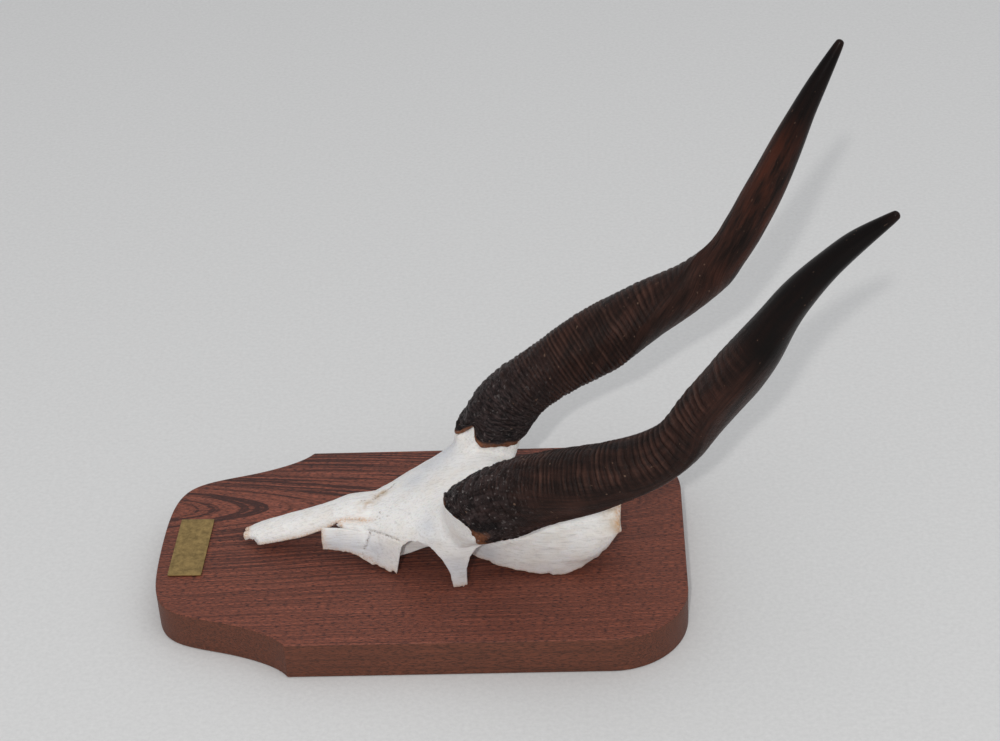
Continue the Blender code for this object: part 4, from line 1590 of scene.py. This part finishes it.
@dataclass
class Studio:
    """The pale floor, the soft lights and the camera."""

    floor_size: float = 9000.0
    floor_drop: float = 0.2
    target: tuple = (40.0, 0.0, 60.0)
    camera_place: tuple = (101.599, -967.664, 781.718)
    # Degrees about the object, above it, and of roll
    camera_turn: tuple = (3.0895, 33.6555, -3.147)
    lens: float = 78.675
    sensor: float = 36.0
    sky: str = "#fdfdff"
    sky_strength: float = 0.53
    # A wide soft light overhead, and a small one that throws the horns' shadows
    lamps: tuple = (("overhead", (420, -600, 2000), 2000, 9.9, "#fffefc"),
                    ("front left", (-146, -2577, 1995), 70, 27, "#fffcf8"))
    finish: PaintedBoard = field(default_factory=PaintedBoard)

    def lamp(self, name: str, place: tuple, size: float, power: float, colour: str) -> None:
        """Hangs one square soft light aimed at the object.

        Args:
            name: Its name.
            place: Where it hangs, in millimetres.
            size: Its side, in millimetres.
            power: Its power in watts.
            colour: Its colour.
        """
        light = bpy.data.lights.new(name, "AREA")
        light.size = size * MM
        light.energy = power
        light.color = linear(colour)[:3]
        item = place_object(name, light)
        item.location = Vector(place) * MM
        aim = Vector(self.target) - Vector(place)
        item.rotation_euler = aim.to_track_quat("-Z", "Y").to_euler()

    def camera(self) -> None:
        """Stands the camera where the photograph was taken from."""
        azimuth, height, roll = (radians(value) for value in self.camera_turn)
        back = Vector((sin(azimuth) * cos(height), -cos(azimuth) * cos(height), sin(height)))
        right = Vector((0, 0, 1)).cross(back).normalized()
        up = back.cross(right)
        across = right * cos(roll) + up * sin(roll)
        top = up * cos(roll) - right * sin(roll)
        lens = bpy.data.cameras.new("camera")
        lens.lens = self.lens
        lens.sensor_width = self.sensor
        camera = place_object("camera", lens)
        turn = Matrix((across, top, back)).transposed().to_4x4()
        camera.matrix_world = Matrix.Translation(Vector(self.camera_place) * MM) @ turn
        bpy.context.scene.camera = camera

    def build(self) -> None:
        """Builds the floor, the lights, the world and the camera."""
        half = self.floor_size / 2
        corners = [(x * half, y * half, -self.floor_drop)
                   for x, y in ((-1, -1), (1, -1), (1, 1), (-1, 1))]
        floor = add_object("floor", np.array(corners), [[0, 1, 2, 3]], self.finish.build())
        world = bpy.data.worlds.new("studio")
        world.use_nodes = True
        sky = world.node_tree.nodes["Background"]
        sky.inputs["Color"].default_value = linear(self.sky)
        sky.inputs["Strength"].default_value = self.sky_strength
        bpy.context.scene.world = world
        for lamp in self.lamps:
            self.lamp(*lamp)
        bpy.context.scene.view_settings.view_transform = "Standard"
        self.camera()


def main() -> None:
    """Builds every piece in order and reports each."""
    logging.basicConfig(level=logging.INFO, format="%(message)s")
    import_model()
    Studio().build()
    horns = {
        Hand.LEFT: Horn(Hand.LEFT, (
            (37, -46.8, 78.3), (65, -65, 104), (105, -85, 129), (135.4, -93, 149.7),
            (153.5, -95, 174.6), (174.4, -104, 210.8), (193.2, -108, 244.7),
            (214.6, -112.6, 272.3), (236.6, -119.1, 294.4)), (
            (0, 17.3), (0.04, 19.0), (0.08, 19.7), (0.14, 18.9), (0.2, 18.1), (0.26, 17.0),
            (0.32, 14.9), (0.38, 12.8), (0.44, 11.8), (0.5, 12.6), (0.56, 12.8), (0.62, 12.9),
            (0.68, 11.7), (0.74, 9.4), (0.8, 8.0), (0.86, 6.5), (0.92, 5.3), (0.98, 3.0),
            (1.0, 1.9)), (
            (0, -42), (0.1, -46), (0.2, -66), (0.3, -88), (0.38, -112), (0.44, -110),
            (0.5, -88), (0.56, -79), (0.65, -82), (0.8, -96), (1.0, -110)),
            HornKeratin("left horn sheath", red_amount=0.25, tip_from=0.7, flake_stretch=0.4,
                        flake_rise=0.7),
            crust_depth=((0.0, 0.8), (0.07, 0.9), (0.16, 0.4), (0.26, 0.0)),
            notches=((radians(53), 6.0, 0.42), (radians(108), -8.5, 0.38)),
            lip_reach=((radians(84), 17.0, 0.32),),
            full_ridges=0.02),
        Hand.RIGHT: Horn(Hand.RIGHT, (
            (42, 30.5, 80), (54, 34, 96), (75, 38, 111), (123, 48, 138), (155.3, 48, 158.6),
            (173.6, 44, 180.6), (192.2, 47, 215.9), (212, 48, 264), (229.3, 53, 298)), (
            (0, 18.0), (0.04, 18.0), (0.08, 17.0), (0.14, 16.4), (0.2, 16.9), (0.26, 16.6),
            (0.32, 16.4), (0.38, 15.5), (0.44, 13.7), (0.5, 11.9), (0.56, 9.3), (0.62, 9.1),
            (0.68, 9.0), (0.74, 8.4), (0.8, 7.5), (0.86, 6.1), (0.92, 4.8), (0.98, 2.9),
            (1.0, 1.9)), (
            (0, 262), (0.1, 246), (0.2, 195), (0.3, 128), (0.38, 89), (0.44, 64), (0.5, 30),
            (0.54, 2), (0.6, -10), (0.7, -12), (1.0, -12)),
            HornKeratin("right horn sheath", red_amount=0.95, tip_from=0.86, flake_stretch=4.0,
                        flake_rise=0.35, painted_glint_amount=0.4),
            ridge_depth=((0.0, 0.3), (0.08, 0.5), (0.2, 0.42), (0.34, 0.34), (0.44, 0.5),
                         (0.5, 0.4), (0.56, 0.15), (0.62, 0.0)),
            crust_depth=((0.0, 0.6), (0.07, 0.4), (0.16, 0.2), (0.26, 0.0)),
            notches=((radians(46), 8.5, 0.26), (radians(138), -1.5, 0.4),
                     (radians(20), -1.6, 0.22)),
            lip_reach=((radians(105), 2.6, 0.75), (radians(30), 2.0, 0.2))),
    }
    pieces = [Plaque(), NamePlate(), *horns.values(), SkullCap(horns[Hand.LEFT],
                                                               horns[Hand.RIGHT])]
    for piece in pieces:
        item = piece.build()
        log.info("%s: %d faces", item.name, len(item.data.polygons))


if __name__ == "__main__":
    main()
